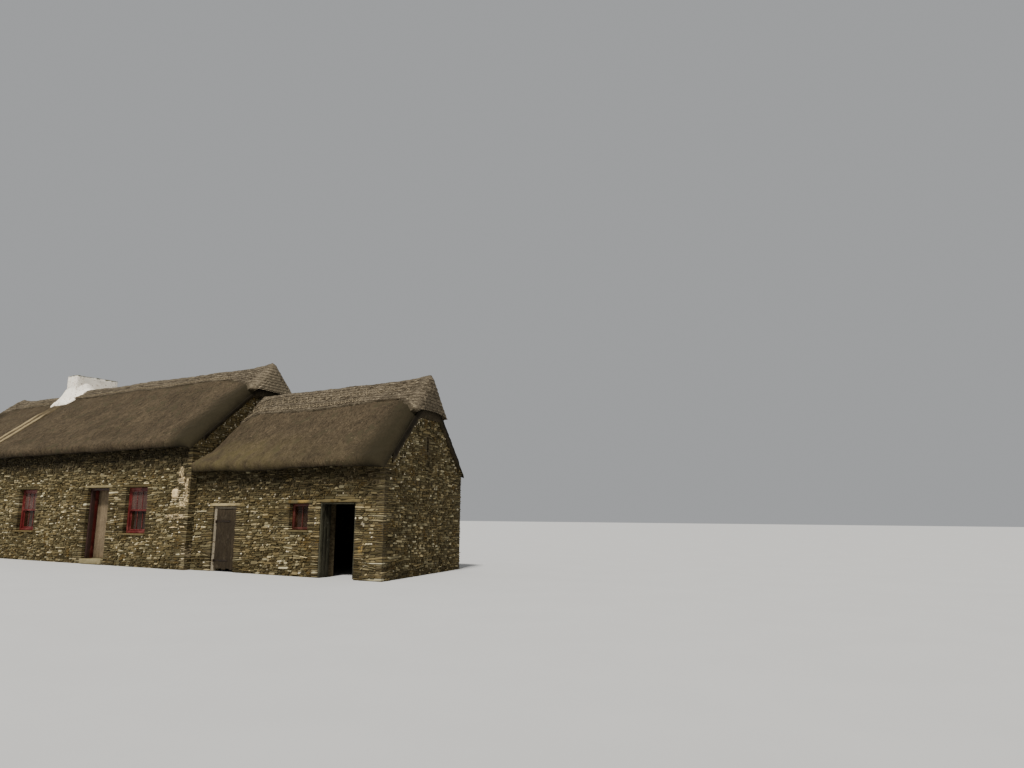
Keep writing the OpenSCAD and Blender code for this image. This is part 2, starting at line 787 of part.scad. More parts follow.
module house_door_frame() {
    w = door_w;
    tall = door_head - door_sill;
    rear_w = frame_w - stop_w;
    color(crimson)
        difference() {
            translate([-w / 2, door_reveal, door_sill])
                cube([w, leaf_y1 - door_reveal, tall]);
            translate([-w / 2 + frame_w, door_reveal - over, door_sill - over])
                cube([w - 2 * frame_w, leaf_y1, tall - frame_w + over]);
            translate([-w / 2 + rear_w, leaf_y0 - leaf_gap, door_sill - over])
                cube([w - 2 * rear_w, leaf_y1, tall - rear_w + over]);
        }
}

step_proud = 60;

module house_threshold() {
    color(slate)
        translate([-door_w / 2, -step_proud, 0])
            cube([door_w, wall_t + step_proud, door_sill]);
}

leaf_x0 = -door_w / 2 + frame_w - stop_w + leaf_gap;
leaf_w = -2 * leaf_x0;
leaf_z0 = door_sill + leaf_gap;
leaf_h = door_head - frame_w + stop_w - leaf_gap - leaf_z0;
pin_off = 22;
eye_r = 17;
eye_h = 40;
eye_gap = 0.05;
strap_t = 6;
strap_h = 40;
ledge_t = 22;
ledge_h = 130;
ledge_side = 60;

function hinge_heights(z0, h) = [z0 + 0.16 * h, z0 + 0.8 * h];

// Boards with two ledges across the back
module leaf(x0, y0, w, z0, h) {
    translate([x0, y0, z0])
        cube([w, leaf_t - ledge_t, h]);
    for (z = hinge_heights(z0, h))
        translate([x0 + ledge_side, y0 + leaf_t - ledge_t, z - ledge_h / 2])
            cube([w - 2 * ledge_side, ledge_t, ledge_h]);
}

module house_door_leaf() {
    color(grey_board) leaf(leaf_x0, leaf_y0, leaf_w, leaf_z0, leaf_h);
}

// A strap along the leaf's face that ends in an eye round the pin.
// side is 1 behind the leaf and -1 in front of it.
module strap(x, face_y, axis_y, z, len, side) {
    difference() {
        union() {
            translate([x, side > 0 ? face_y : face_y - strap_t, z - strap_h / 2])
                cube([len, strap_t, strap_h]);
            translate([x, side > 0 ? face_y : axis_y, z - strap_h / 2])
                cube([strap_t, abs(axis_y - face_y), strap_h]);
            translate([x, axis_y, z - eye_h / 2])
                cylinder(r = eye_r, h = eye_h);
        }
        translate([x, axis_y, z - eye_h / 2 - over])
            cylinder(r = pin_r + eye_gap, h = eye_h + 2 * over);
    }
}

// A pin that stands on a bracket fixed to the post
bracket_h = 24;
bracket_gap = 1;
pin_end = 12;
plate_w = 20;
plate_t = 6;
plate_off = 24;

module pintle(x, face_y, axis_y, z, side) {
    foot = z - eye_h / 2 - bracket_h;
    translate([x, axis_y, foot])
        cylinder(r = pin_r, h = eye_h + bracket_h + pin_end);
    hull() {
        translate([x, axis_y, foot])
            cylinder(r = eye_r, h = bracket_h - bracket_gap, $fn = 32);
        translate([x - leaf_gap - plate_off, side > 0 ? face_y : face_y - plate_t, foot])
            cube([plate_w, plate_t, bracket_h - bracket_gap]);
    }
}

module house_door_straps() {
    color(iron)
        for (z = hinge_heights(leaf_z0, leaf_h))
            strap(leaf_x0, leaf_y1, leaf_y1 + pin_off, z, 0.75 * leaf_w, 1);
}

// The byre door: a pale post and head, and a weathered leaf of boards that opens outwards
byre_post_set = 45;
byre_leaf_y0 = byre_y0 + byre_post_set;
byre_leaf_x0 = byre_door_x - byre_door_w / 2 + post_w + leaf_gap;
byre_leaf_w = byre_door_w - post_w - 2 * leaf_gap;
byre_leaf_z0 = 30;
byre_leaf_h = byre_door_h - byre_leaf_z0 - frame_w - leaf_gap;

module byre_door_frame() {
    color(pale_post) {
        translate([byre_door_x - byre_door_w / 2, byre_leaf_y0, 0])
            cube([post_w, frame_d, byre_door_h]);
        translate([byre_door_x - byre_door_w / 2 + post_w, byre_leaf_y0, byre_door_h - frame_w])
            cube([byre_door_w - post_w, frame_d, frame_w]);
    }
}

module byre_door_leaf() {
    color(dark_board) leaf(byre_leaf_x0, byre_leaf_y0, byre_leaf_w, byre_leaf_z0, byre_leaf_h);
}

module byre_door_straps() {
    color(iron)
        for (z = hinge_heights(byre_leaf_z0, byre_leaf_h))
            strap(byre_leaf_x0, byre_leaf_y0, byre_leaf_y0 - pin_off, z, 0.7 * byre_leaf_w, -1);
}

module hinge_pintles() {
    color(iron) {
        for (z = hinge_heights(leaf_z0, leaf_h))
            pintle(leaf_x0, leaf_y1, leaf_y1 + pin_off, z, 1);
        for (z = hinge_heights(byre_leaf_z0, byre_leaf_h))
            pintle(byre_leaf_x0, byre_leaf_y0, byre_leaf_y0 - pin_off, z, -1);
    }
}

// Boards that line the sides and head of the open doorway
lining_t = 40;
lining_d = 330;

module byre_doorway_lining() {
    h = doorway_hole;
    color(dark_board)
        translate([h[0] - h[2] / 2, h[1], 0])
            difference() {
                cube([h[2], lining_d, h[4]]);
                translate([lining_t, -over, -over])
                    cube([h[2] - 2 * lining_t, lining_d + 2 * over, h[4] - lining_t + over]);
            }
}

// Couples of round-wood rafters with a collar, and the poles that lie on them under the thatch
pole_d = 90;
rafter_d = 150;
rafter_w = 130;
collar_share = 0.45;
pole_shares = [0.62, 0.3];

module couple_section(r, t) {
    s = half(r) - t;
    y = ridge_y(r);
    drop0 = (pole_d + 2 * bed) / cos(pitch(r));
    drop1 = drop0 + rafter_d / cos(pitch(r));
    collar_z = under_z(r, collar_share * half(r)) - drop1;
    polygon([[y - s, under_z(r, s) - drop0], [y, under_z(r, 0) - drop0], [y + s, under_z(r, s) - drop0],
             [y + s, under_z(r, s) - drop1], [y, under_z(r, 0) - drop1], [y - s, under_z(r, s) - drop1]]);
    intersection() {
        polygon([[y - s, under_z(r, s) - drop0], [y, under_z(r, 0) - drop0],
                 [y + s, under_z(r, s) - drop0]]);
        translate([y - s, collar_z])
            square([2 * s, rafter_d]);
    }
}

module slope_poles(r, x0, x1) {
    for (side = [-1, 1], f = pole_shares)
        translate([x0, ridge_y(r) + side * f * half(r), under_z(r, f * half(r))])
            rotate([side * -pitch(r), 0, 0])
                translate([0, -pole_d / 2, -pole_d - bed])
                    cube([x1 - x0, pole_d, pole_d]);
}

module couples(r, t, x0, x1, count) {
    for (i = [1:count])
        translate([x0 + (x1 - x0) * i / (count + 1), 0, 0])
            along_x(-rafter_w / 2, rafter_w / 2) couple_section(r, t);
}

module room_couples() {
    color(pole) couples(room_roof, wall_t, room_x0 + wall_t, hearth_x0, 1);
}

// Reach of an out of square gable along the row, over its thickness
house_slant = wall_t / cos(house_skew);
byre_slant = byre_wall_t / cos(byre_skew);

module house_couples() {
    color(pole) couples(house_roof, wall_t, house_x0, house_x1 - house_slant - byre_run, 4);
}

module byre_couples() {
    color(pole) couples(byre_roof, byre_wall_t, house_x1, byre_x1 - byre_slant - byre_depth * byre_k, 3);
}

module roof_poles() {
    color(pole) {
        slope_poles(room_roof, room_x0 + wall_t + bed, hearth_x0 - bed);
        difference() {
            slope_poles(house_roof, house_x0 + bed, house_x1);
            beyond_house(-house_slant - bed);
        }
        difference() {
            intersection() {
                slope_poles(byre_roof, byre_x0, byre_x1);
                beyond_house(bed);
            }
            beyond_byre(-byre_slant - bed);
        }
    }
}

room_front_wall();
room_back_wall();
room_end_gable();
hearth_wall();
house_front_west();
house_front_east();
house_door_head();
house_back_wall();
house_end_gable();
byre_front_west();
byre_front_middle();
byre_front_east();
byre_door_head();
byre_doorway_head();
byre_back_wall();
byre_end_gable();
room_thatch();
house_thatch();
byre_thatch();
roof_joint();
room_ridge_cap();
house_ridge_cap();
byre_ridge_cap();
chimney_stack();
chimney_skirt();
stone_lintels();
window_sills();
room_window();
west_window();
east_window();
byre_window();
window_glass();
house_door_frame();
house_threshold();
house_door_leaf();
house_door_straps();
byre_door_frame();
byre_door_leaf();
byre_door_straps();
hinge_pintles();
byre_doorway_lining();
room_couples();
house_couples();
byre_couples();
roof_poles();
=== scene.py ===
import math

import bpy
import numpy as np
from mathutils import Matrix, Vector


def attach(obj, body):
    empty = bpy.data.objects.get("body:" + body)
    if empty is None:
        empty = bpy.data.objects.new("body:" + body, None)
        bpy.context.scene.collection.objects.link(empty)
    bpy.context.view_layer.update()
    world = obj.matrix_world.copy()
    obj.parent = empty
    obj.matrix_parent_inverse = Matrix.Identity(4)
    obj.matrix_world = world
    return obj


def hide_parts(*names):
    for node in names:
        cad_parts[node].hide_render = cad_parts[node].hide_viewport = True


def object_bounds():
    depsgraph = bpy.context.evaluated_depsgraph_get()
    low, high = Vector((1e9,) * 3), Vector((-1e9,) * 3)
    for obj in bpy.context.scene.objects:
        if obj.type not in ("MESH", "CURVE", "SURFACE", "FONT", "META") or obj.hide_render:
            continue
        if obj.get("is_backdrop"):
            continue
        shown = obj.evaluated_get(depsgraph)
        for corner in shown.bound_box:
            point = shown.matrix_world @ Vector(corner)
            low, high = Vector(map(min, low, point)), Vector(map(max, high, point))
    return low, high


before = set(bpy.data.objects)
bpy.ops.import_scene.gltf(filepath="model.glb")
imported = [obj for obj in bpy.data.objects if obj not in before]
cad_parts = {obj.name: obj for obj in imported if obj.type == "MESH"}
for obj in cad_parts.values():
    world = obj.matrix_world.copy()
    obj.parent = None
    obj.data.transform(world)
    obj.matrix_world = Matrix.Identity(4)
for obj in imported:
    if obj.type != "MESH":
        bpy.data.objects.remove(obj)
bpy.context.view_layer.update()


# The camera stands on the ground east of the row, at a grown person's eye height,
# and looks up a little along the front, as the photograph was taken.
eye = Vector((21.276, -12.762, 1.437))
turn, tilt, lean = (math.radians(a) for a in (-30.088, 10.127, 0.388))
ahead = Vector((math.sin(turn) * math.cos(tilt), math.cos(turn) * math.cos(tilt), math.sin(tilt)))
level = Vector((math.cos(turn), -math.sin(turn), 0))
overhead = level.cross(ahead)
right = level * math.cos(lean) + overhead * math.sin(lean)
up = overhead * math.cos(lean) - level * math.sin(lean)
camera = bpy.data.objects.new("camera", bpy.data.cameras.new("camera"))
bpy.context.scene.collection.objects.link(camera)
camera.matrix_world = Matrix.Translation(eye) @ Matrix((right, up, -ahead)).transposed().to_4x4()
camera.data.sensor_width = 36
camera.data.lens = 25.98
camera.data.clip_end = 1000
bpy.context.scene.camera = camera


# The studio: a wide pale floor, even light from all round, and one large soft lamp that
# stands high in front, so that the eaves shade the walls and light rakes over the east gables.
def add_node(tree, kind, inputs=(), **settings):
    """Adds a shader node; an input is given as a value or as the output that feeds it."""
    made = tree.nodes.new("ShaderNode" + kind)
    for key, value in settings.items():
        setattr(made, key, value)
    for socket, value in dict(inputs).items():
        if isinstance(value, bpy.types.NodeSocket):
            tree.links.new(value, made.inputs[socket])
        else:
            made.inputs[socket].default_value = value
    return made


def calc(tree, operation, a, b=0.0, c=0.0, clamp=False):
    return add_node(tree, "Math", {0: a, 1: b, 2: c}, operation=operation, use_clamp=clamp).outputs[0]


def mix_tones(tree, share, a, b, way="MIX"):
    a, b = (tuple(t) + (1,) if isinstance(t, (tuple, list)) and len(t) == 3 else t for t in (a, b))
    return add_node(tree, "Mix", {0: share, 6: a, 7: b}, data_type="RGBA", blend_type=way).outputs[2]


def spread(tree, value, low, high, to_low=0.0, to_high=1.0):
    """Stretches the range low to high of a value over to_low to to_high, with soft ends."""
    return add_node(tree, "MapRange", {0: value, 1: low, 2: high, 3: to_low, 4: to_high},
                    interpolation_type="SMOOTHSTEP").outputs[0]


def place_in(tree, stretch=(1, 1, 1)):
    where = add_node(tree, "TexCoord").outputs["Object"]
    if stretch == (1, 1, 1):
        return where
    return add_node(tree, "Mapping", {"Vector": where, "Scale": stretch}).outputs[0]


def grain(tree, where, size, detail=4.0, rough=0.55, twist=0.0):
    """A cloudy pattern of about the given size in metres, from 0 to 1."""
    return add_node(tree, "TexNoise", {"Vector": where, "Scale": 1 / size, "Detail": detail,
                                       "Roughness": rough, "Distortion": twist}).outputs[0]


def new_finish(name, roughness=0.85, gloss=0.12):
    finish = bpy.data.materials.new(name)
    finish.use_nodes = True
    tree = finish.node_tree
    shader = next(n for n in tree.nodes if n.type == "BSDF_PRINCIPLED")
    shader.inputs["Roughness"].default_value = roughness
    shader.inputs["Specular IOR Level"].default_value = gloss
    return finish, tree, shader


def raise_by(tree, shader, height, distance, strength=1.0):
    bump = add_node(tree, "Bump", {"Height": height, "Distance": distance, "Strength": strength})
    tree.links.new(bump.outputs[0], shader.inputs["Normal"])


def wire(tree, output, shader, socket):
    tree.links.new(output, shader.inputs[socket])


floor_reach = 160
floor_mesh = bpy.data.meshes.new("studio_floor")
floor_mesh.from_pydata([(-floor_reach, -floor_reach, 0), (floor_reach, -floor_reach, 0),
                        (floor_reach, floor_reach, 0), (-floor_reach, floor_reach, 0)], [], [(0, 1, 2, 3)])
floor = bpy.data.objects.new("studio_floor", floor_mesh)
floor.location = (0, 0, -0.002)
bpy.context.scene.collection.objects.link(floor)
floor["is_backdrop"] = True
floor_finish, tree, shader = new_finish("pale_floor", 0.9)
soft = grain(tree, place_in(tree), 1.3)
wire(tree, mix_tones(tree, soft, (0.50, 0.50, 0.49), (0.55, 0.55, 0.54)), shader, "Base Color")
floor_mesh.materials.append(floor_finish)

world = bpy.data.worlds.new("studio")
bpy.context.scene.world = world
world.use_nodes = True
sky = world.node_tree.nodes["Background"]
sky.inputs[0].default_value = (0.96, 0.98, 1.0, 1)
sky.inputs[1].default_value = 0.40

lamp_data = bpy.data.lights.new("soft_lamp", "SUN")
lamp_data.energy = 4.8
lamp_data.angle = math.radians(8)
lamp_data.color = (1.0, 0.965, 0.91)
lamp = bpy.data.objects.new("soft_lamp", lamp_data)
lamp.rotation_euler = Vector((0.14, -0.52, 0.84)).to_track_quat("Z", "Y").to_euler()
bpy.context.scene.collection.objects.link(lamp)


# The rubble walls: thin flat stones of the place, laid dry-looking in rough wavy courses on
# an earthy hearting, with long and short stones at the corners and jambs. Each wall is one
# mesh of single stones round its hearting, and stands for the wall's nodes.
house_x0, house_x1, room_x0, hearth_x0 = -6.08, 4.10, -10.61, -6.72
byre_x1, byre_y0 = 10.50, 0.21
house_deep, byre_deep = 5.62, 4.38
house_lean, byre_lean = (math.tan(math.radians(a)) for a in (6.5, 11.4))
# A roof over its walls, from the line where it starts to the corner of its gable. Both lines
# fall back by their lean per metre of depth. The ridge cap widens along flare to the gable.
HOUSE = dict(mid=2.81, half=2.81, wall=3.23, slope=math.radians(40), crown=0.10,
             rim_up=0.135, arch=0.0, fall=0.0, rims=(0.76, 0.80), flare=1.10,
             widths=[(0, 0.55), (0.3, 0.62), (0.64, 0.735), (1, 0.88)],
             plain_x=house_x0, plain_lean=0.0, corner_x=house_x1, corner_y=0.0, facing=1, lean=house_lean)
ROOM = dict(mid=2.81, half=2.81, wall=3.23, slope=math.radians(38.5), crown=0.38,
            rim_up=0.10, arch=0.02, fall=0.0, rims=(0.80, 0.80), flare=0.80,
            widths=[(0, 0.55), (0.5, 0.60), (1, 0.80)],
            plain_x=hearth_x0, plain_lean=0.0, corner_x=room_x0, corner_y=0.0, facing=-1, lean=0.0)
BYRE = dict(mid=2.40, half=2.19, wall=2.57, slope=math.radians(42.5), crown=0.10,
            rim_up=0.05, arch=0.03, fall=0.05, rims=(0.80, 0.86), flare=1.50,
            widths=[(0, 0.80), (0.12, 0.775), (0.27, 0.74), (0.47, 0.69), (0.62, 0.695), (0.83, 0.77),
                    (1, 0.88)],
            plain_x=house_x1 + 0.0002, plain_lean=house_lean, corner_x=byre_x1, corner_y=byre_y0,
            facing=1, lean=byre_lean)
wall_thick, byre_wall_thick = 0.60, 0.55
mortar_in = 0.020
stone_back = 0.045
jamb_deep, jamb_short, jamb_long = 0.30, (0.16, 0.28), (0.30, 0.46)

# Openings in the fronts: middle, width, foot, head
house_holes = {"door": (0.0, 1.03, 0.0, 2.16), "east_window": (1.82, 0.95, 0.895, 2.155),
               "west_window": (-3.745, 0.95, 0.895, 2.155), "room_window": (-8.365, 0.95, 0.895, 2.155)}
byre_holes = {"doorway": (9.12, 1.06, 0.0, 1.72), "door": (5.25, 0.855, 0.0, 1.635),
              "window": (7.875, 0.59, 1.075, 1.70)}
lintel_deep, lintel_bear, sill_deep, sill_bear = 0.08, 0.15, 0.055, 0.06


def ripple(points, size, seed):
    """Smooth irregular waves of about the given size in metres, mostly from -1 to 1."""
    dice = np.random.RandomState(seed)
    total = np.zeros(len(points))
    for _ in range(7):
        way = dice.normal(size=3)
        way /= np.linalg.norm(way)
        total += np.sin(points @ way * (2 * math.pi / size) * dice.uniform(0.6, 1.6) + dice.uniform(0, 6.283))
    return total / 3


def make_piece(name, points, face_sets, finishes, finish_of=None, marks=None, crisp=None):
    """A mesh object from points and arrays of faces; marks are values kept at its points."""
    mesh = bpy.data.meshes.new(name)
    loops = np.concatenate([f.ravel() for f in face_sets]).astype(np.int32)
    sizes = np.concatenate([np.full(len(f), f.shape[1]) for f in face_sets])
    mesh.vertices.add(len(points))
    mesh.vertices.foreach_set("co", np.asarray(points, np.float32).ravel())
    mesh.loops.add(len(loops))
    mesh.loops.foreach_set("vertex_index", loops)
    mesh.polygons.add(len(sizes))
    mesh.polygons.foreach_set("loop_start", np.concatenate([[0], np.cumsum(sizes)[:-1]]).astype(np.int32))
    for finish in finishes:
        mesh.materials.append(finish)
    if finish_of is not None:
        mesh.polygons.foreach_set("material_index", np.concatenate(finish_of).astype(np.int32))
    mesh.update(calc_edges=True)
    mesh.polygons.foreach_set("use_smooth", np.ones(len(sizes), bool))
    if crisp is not None:
        mesh.set_sharp_from_angle(angle=math.radians(crisp))
    for mark, values in (marks or {}).items():
        kept = mesh.attributes.new(mark, "FLOAT", "POINT")
        kept.data.foreach_set("value", np.asarray(values, np.float32))
    piece = bpy.data.objects.new(name, mesh)
    bpy.context.scene.collection.objects.link(piece)
    return piece


def fit(piece, body, nodes=()):
    """Ties a piece to its body and hides the nodes it stands for."""
    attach(piece, body)
    if nodes:
        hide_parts(*nodes)
    return piece


def course_levels(marks, height, seed):
    """Heights of the courses, which fall on the given marks; also how much each may wave."""
    dice = np.random.RandomState(seed)
    levels = [marks[0]]
    for low, high in zip(marks, marks[1:]):
        count = max(1, round((high - low) / height))
        parts = dice.uniform(0.6, 1.5, count)
        levels += list(low + (high - low) * np.cumsum(parts) / parts.sum())
    levels = np.array(levels)
    near = np.min(np.abs(levels[:, None] - np.array(marks)[None, :]), axis=1)
    return levels, 0.003 + 0.030 * np.clip(near / 0.2, 0, 1)


def course_line(levels, waves, index, x, y):
    """Height of course line number index over the ground point x, y."""
    index = np.minimum(index, len(levels) - 1)
    wave = np.sin(1.3 * x + 0.9 * y + 0.35 * index) + 0.6 * np.sin(3.7 * x - 2.9 * y + 0.5 * index)
    return levels[index] + waves[index] * wave


def corner_plan(count, seed):
    """For each course: which of the two walls owns the corner, and the corner stone's two sides."""
    dice = np.random.RandomState(seed)
    return [(j % 2, dice.uniform(0.34, 0.60), dice.uniform(0.15, 0.26)) for j in range(count)]


def lay_stones(face, levels, seed):
    """Fills one wall face with stones, course by course. A stone is its two ends, the course and
    the share of it where it starts and stops, whether it is a deep one, its depth, the corner it
    stands on (1 left, 2 right) and its kind (2 for a pin)."""
    dice = np.random.RandomState(seed)
    rows, held = [], {}
    for j in range(len(levels) - 1):
        low, high = levels[j], levels[j + 1]
        middle = (low + high) / 2
        on_mark = np.any(np.abs(face["marks"] - high) < 1e-6)
        left, right_end = face["span"](middle)
        if right_end - left < 0.12:
            continue
        spans = [[left, right_end, None, None]]
        for side, (plan, turn_in) in enumerate(face["corners"]):
            if plan is None or middle > face["corner_top"]:
                continue
            owner, long_side, deep = plan[j]
            if owner == turn_in:
                ends = (left, left + long_side) if side == 0 else (right_end - long_side, right_end)
                rows.append((*ends, j, 0.0, j + 1, 0.0, 1, deep, 1 + side, 0))
                spans[0][side] = ends[1] if side == 0 else ends[0]
            else:
                spans[0][side] += deep if side == 0 else -deep
        blocks = [b for b in face["blocks"] if b[2] < high - 0.012 and b[3] > low + 0.012]
        blocks += [(a, b, 0, 9, False) for a, b in held.pop(j, [])]
        for b in sorted(blocks):
            cut = []
            for a0, a1, ja, jb in spans:
                if b[1] <= a0 or b[0] >= a1:
                    cut.append([a0, a1, ja, jb])
                    continue
                if b[0] > a0:
                    cut.append([a0, b[0], ja, b[4] or None])
                if b[1] < a1:
                    cut.append([b[1], a1, b[4] or None, jb])
            spans = cut
        for a0, a1, ja, jb in spans:
            if a1 - a0 < 0.03:
                continue
            for side, jamb in enumerate((ja, jb)):
                if not jamb or a1 - a0 <= 0.25:
                    continue
                length = min(dice.uniform(*(jamb_short if (j + side) % 2 else jamb_long)), (a1 - a0) * 0.6)
                ends = (a1 - length, a1) if side else (a0, a0 + length)
                rows.append((*ends, j, 0.0, j + 1, 0.0, 1, jamb_deep, 0, 0))
                a0, a1 = (a0, ends[0]) if side else (ends[1], a1)
            at = a0
            while at < a1 - 1e-6:
                pin = dice.rand() < face["pins"](at, middle)
                length = dice.uniform(0.035, 0.06) if pin else \
                    float(np.clip(dice.lognormal(face["long"], 0.45), 0.06, 0.46))
                if a1 - at - length < 0.06:
                    length = a1 - at
                end = at + length
                draw = dice.rand()
                if not pin and length > 0.16 and high - low > 0.075 and draw < 0.22:
                    share = dice.uniform(0.38, 0.62)
                    rows.append((at, end, j, 0.0, j, share, 0, 0, 0, 0))
                    rows.append((at, end, j, share, j + 1, 0.0, 0, 0, 0, 0))
                elif draw > 0.965 and j + 2 < len(levels) and not on_mark \
                        and levels[j + 2] - low < 0.12 and length < 0.30:
                    rows.append((at, end, j, 0.0, j + 2, 0.0, 0, 0, 0, 0))
                    held.setdefault(j + 1, []).append((at, end))
                else:
                    rows.append((at, end, j, 0.0, j + 1, 0.0, 0, 0, 0, 2 if pin else 0))
                at = end
    return np.array(rows)


def stone_meshes(face, rows, levels, waves, seed):
    """Turns the laid stones of one face into points, faces and the marks of each stone."""
    dice = np.random.RandomState(seed)
    origin, along, out = (np.array(face[k], float) for k in ("origin", "along", "out"))
    centre = rows[:, :2].mean(1)
    first, last = face.get("only", (-9, 99))
    rows = rows[(centre >= first) & (centre < last)]

    def height(j, share, u):
        spot = origin[None, :] + u[:, None] * along[None, :]
        j = j.astype(int)
        low = course_line(levels, waves, j, spot[:, 0], spot[:, 1])
        high = course_line(levels, waves, j + 1, spot[:, 0], spot[:, 1])
        return low + (high - low) * share

    def placed(u, z, o):
        return origin + u[..., None] * along + o[..., None] * out + z[..., None] * np.array([0, 0, 1.0])

    # Plain stones: a face of six sides, slightly domed, with its middle point and a ring behind it
    flat = rows[rows[:, 6] == 0]
    n, ring_of, each = len(flat), 6, 13
    u0, u1, low, low_share, high, high_share, _, _, _, kind = flat.T
    gap = dice.uniform(0.0015, 0.004, (n, 4))
    cut = dice.uniform(0.10, 0.80, (n, 6))
    w = u1 - u0
    zb0, zb1 = (height(low, low_share, u) + gap[:, 0] for u in (u0, u1))
    zt0, zt1 = (height(high, high_share, u) - gap[:, 1] for u in (u0, u1))
    u0, u1 = u0 + gap[:, 2], u1 - gap[:, 3]
    h = np.minimum(zt0 - zb0, zt1 - zb1)
    cu = np.minimum(cut * h[:, None], 0.34 * w[:, None])

    def lerp(a, b, u):
        return a + (b - a) * (u - u0) / (u1 - u0)

    us = np.stack([u0 + cu[:, 0], u1 - cu[:, 1], u1, u1 - cu[:, 2], u0 + cu[:, 3], u0], 1)
    zs = np.stack([lerp(zb0, zb1, us[:, 0]), lerp(zb0, zb1, us[:, 1]),
                   zb1 + (zt1 - zb1) * (0.18 + 0.6 * cut[:, 4]), lerp(zt0, zt1, us[:, 3]),
                   lerp(zt0, zt1, us[:, 4]), zb0 + (zt0 - zb0) * (0.18 + 0.6 * cut[:, 5])], 1)
    zs += dice.uniform(-0.003, 0.003, zs.shape)
    uc, zc = us.mean(1)[:, None], zs.mean(1)[:, None]
    proud = np.clip(dice.normal(0, 0.010, n), -0.016, 0.021)[:, None]
    slant_u, slant_z = dice.normal(0, 0.06, (n, 1)), dice.normal(-0.12, 0.18, (n, 1))
    pull = np.clip(0.13 * h, 0.003, 0.010)[:, None] * dice.uniform(0.5, 1.5, (n, 6)) \
        / np.maximum(np.hypot(us - uc, zs - zc), 0.02)
    ui, zi = us - (us - uc) * pull, zs - (zs - zc) * pull
    tilt_of = lambda u, z: proud + slant_u * (u - uc) + slant_z * (z - zc)
    rings = [(us, zs, np.full_like(us, -stone_back)),
             (ui, zi, tilt_of(ui, zi) + dice.uniform(-0.003, 0.003, ui.shape)),
             (uc, zc, tilt_of(uc, zc) + dice.uniform(0, 0.006, (n, 1)))]
    top = face["head"]
    block = [placed(u, np.minimum(z, top(u) - 0.004), o) for u, z, o in rings]
    block = np.concatenate(block, axis=1).reshape(-1, 3)
    block[:, 2] = np.maximum(block[:, 2], 0)
    base = (np.arange(n) * each)[:, None]
    ring = np.arange(ring_of)
    turned = (ring + 1) % ring_of
    q = np.stack([ring, turned, turned + ring_of, ring + ring_of], 1)
    quads = [(base[:, :, None] + q[None]).reshape(-1, 4)]
    t = np.stack([ring + ring_of, turned + ring_of, np.full(ring_of, each - 1)], 1)
    tris = (base[:, :, None] + t[None]).reshape(-1, 3)
    tone_flat = dice.rand(n) ** (1.0 + 0.55 * np.abs(zc[:, 0] - 0.5 * face["eave"]) / face["eave"] * 2)
    tone_flat *= np.clip(1.25 - 18 * w * h, 0.72, 1)
    all_points, tone, kind_of = [block], [np.repeat(tone_flat, each)], [np.repeat(kind, each)]

    # Corner and jamb stones: whole blocks with soft edges, the lattice of 3 x 3 x 3 points less
    # its middle one
    deep = rows[rows[:, 6] == 1]
    if len(deep):
        n, each = len(deep), 26
        start, end, low, low_share, high, high_share, _, depth, corner, kind = deep.T
        steps = [(a, b, c) for a in (0, 1, 2) for b in (0, 1, 2) for c in (0, 1, 2) if (a, b, c) != (1, 1, 1)]
        index = {s: i for i, s in enumerate(steps)}
        s = np.array(steps, float) / 2
        edges = np.sum(s != 0.5, axis=1)
        gap = dice.uniform(0.002, 0.005, (n, 4))
        u0, u1 = start + gap[:, 0], end - gap[:, 1]
        fa = s[:, 0][None]
        ends = np.stack([corner == 1, corner == 2], 1).astype(float)
        proud = np.clip(dice.normal(0, 0.006, n), -0.010, 0.012)[:, None]
        o = proud - depth[:, None] * s[:, 2][None]
        u = u0[:, None] + (u1 - u0)[:, None] * fa
        shear = face["shear"]
        u += (-o) * (shear[0] * ends[:, :1] * (1 - fa) + shear[1] * ends[:, 1:] * fa)
        zb = np.stack([height(low, low_share, u[:, i]) for i in range(each)], 1) + gap[:, 2:3]
        zt = np.stack([height(high, high_share, u[:, i]) for i in range(each)], 1) - gap[:, 3:4]
        z = zb + (zt - zb) * s[:, 1][None]
        soften = 0.007 * (edges[None] - 1) * dice.uniform(0.5, 1.5, (n, each))
        u -= np.sign(fa - 0.5) * soften + dice.uniform(-0.004, 0.004, (n, each))
        z -= np.sign(s[:, 1] - 0.5)[None] * soften * 0.8
        o -= np.sign(0.5 - s[:, 2])[None] * soften
        block = placed(u, np.minimum(z, top(u) - 0.004), o).reshape(-1, 3)
        block[:, 2] = np.maximum(block[:, 2], 0)
        q = []
        for axis in range(3):
            for side in (0, 2):
                for i in (0, 1):
                    for k in (0, 1):
                        cell = []
                        for di, dk in ((0, 0), (1, 0), (1, 1), (0, 1)):
                            c = [0, 0, 0]
                            c[axis], c[(axis + 1) % 3], c[(axis + 2) % 3] = side, i + di, k + dk
                            cell.append(index[tuple(c)])
                        q.append(cell[::-1] if side == 2 else cell)
        q = np.array(q)
        quads.append((len(all_points[0]) + (np.arange(n) * each)[:, None, None] + q[None]).reshape(-1, 4))
        tone.append(np.repeat(dice.rand(n), each))
        kind_of.append(np.repeat(kind, each))
        all_points.append(block)
    return np.concatenate(all_points), np.concatenate(quads), tris, \
        np.concatenate(tone), np.concatenate(kind_of)


def hearting(nodes, planes):
    """The walls' own solids, with the faces that carry stones set back behind the stones."""
    points, faces, count = [], [], 0
    for name in nodes:
        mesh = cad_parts[name].data
        co = np.array([v.co for v in mesh.vertices], float)
        moved = co.copy()
        for test, shift in planes:
            hit = test(co)
            moved[hit] += np.array(shift)
        mesh.calc_loop_triangles()
        tri = np.array([t.vertices[:] for t in mesh.loop_triangles])
        points.append(moved)
        faces.append(tri + count)
        count += len(co)
    return np.concatenate(points), np.concatenate(faces)


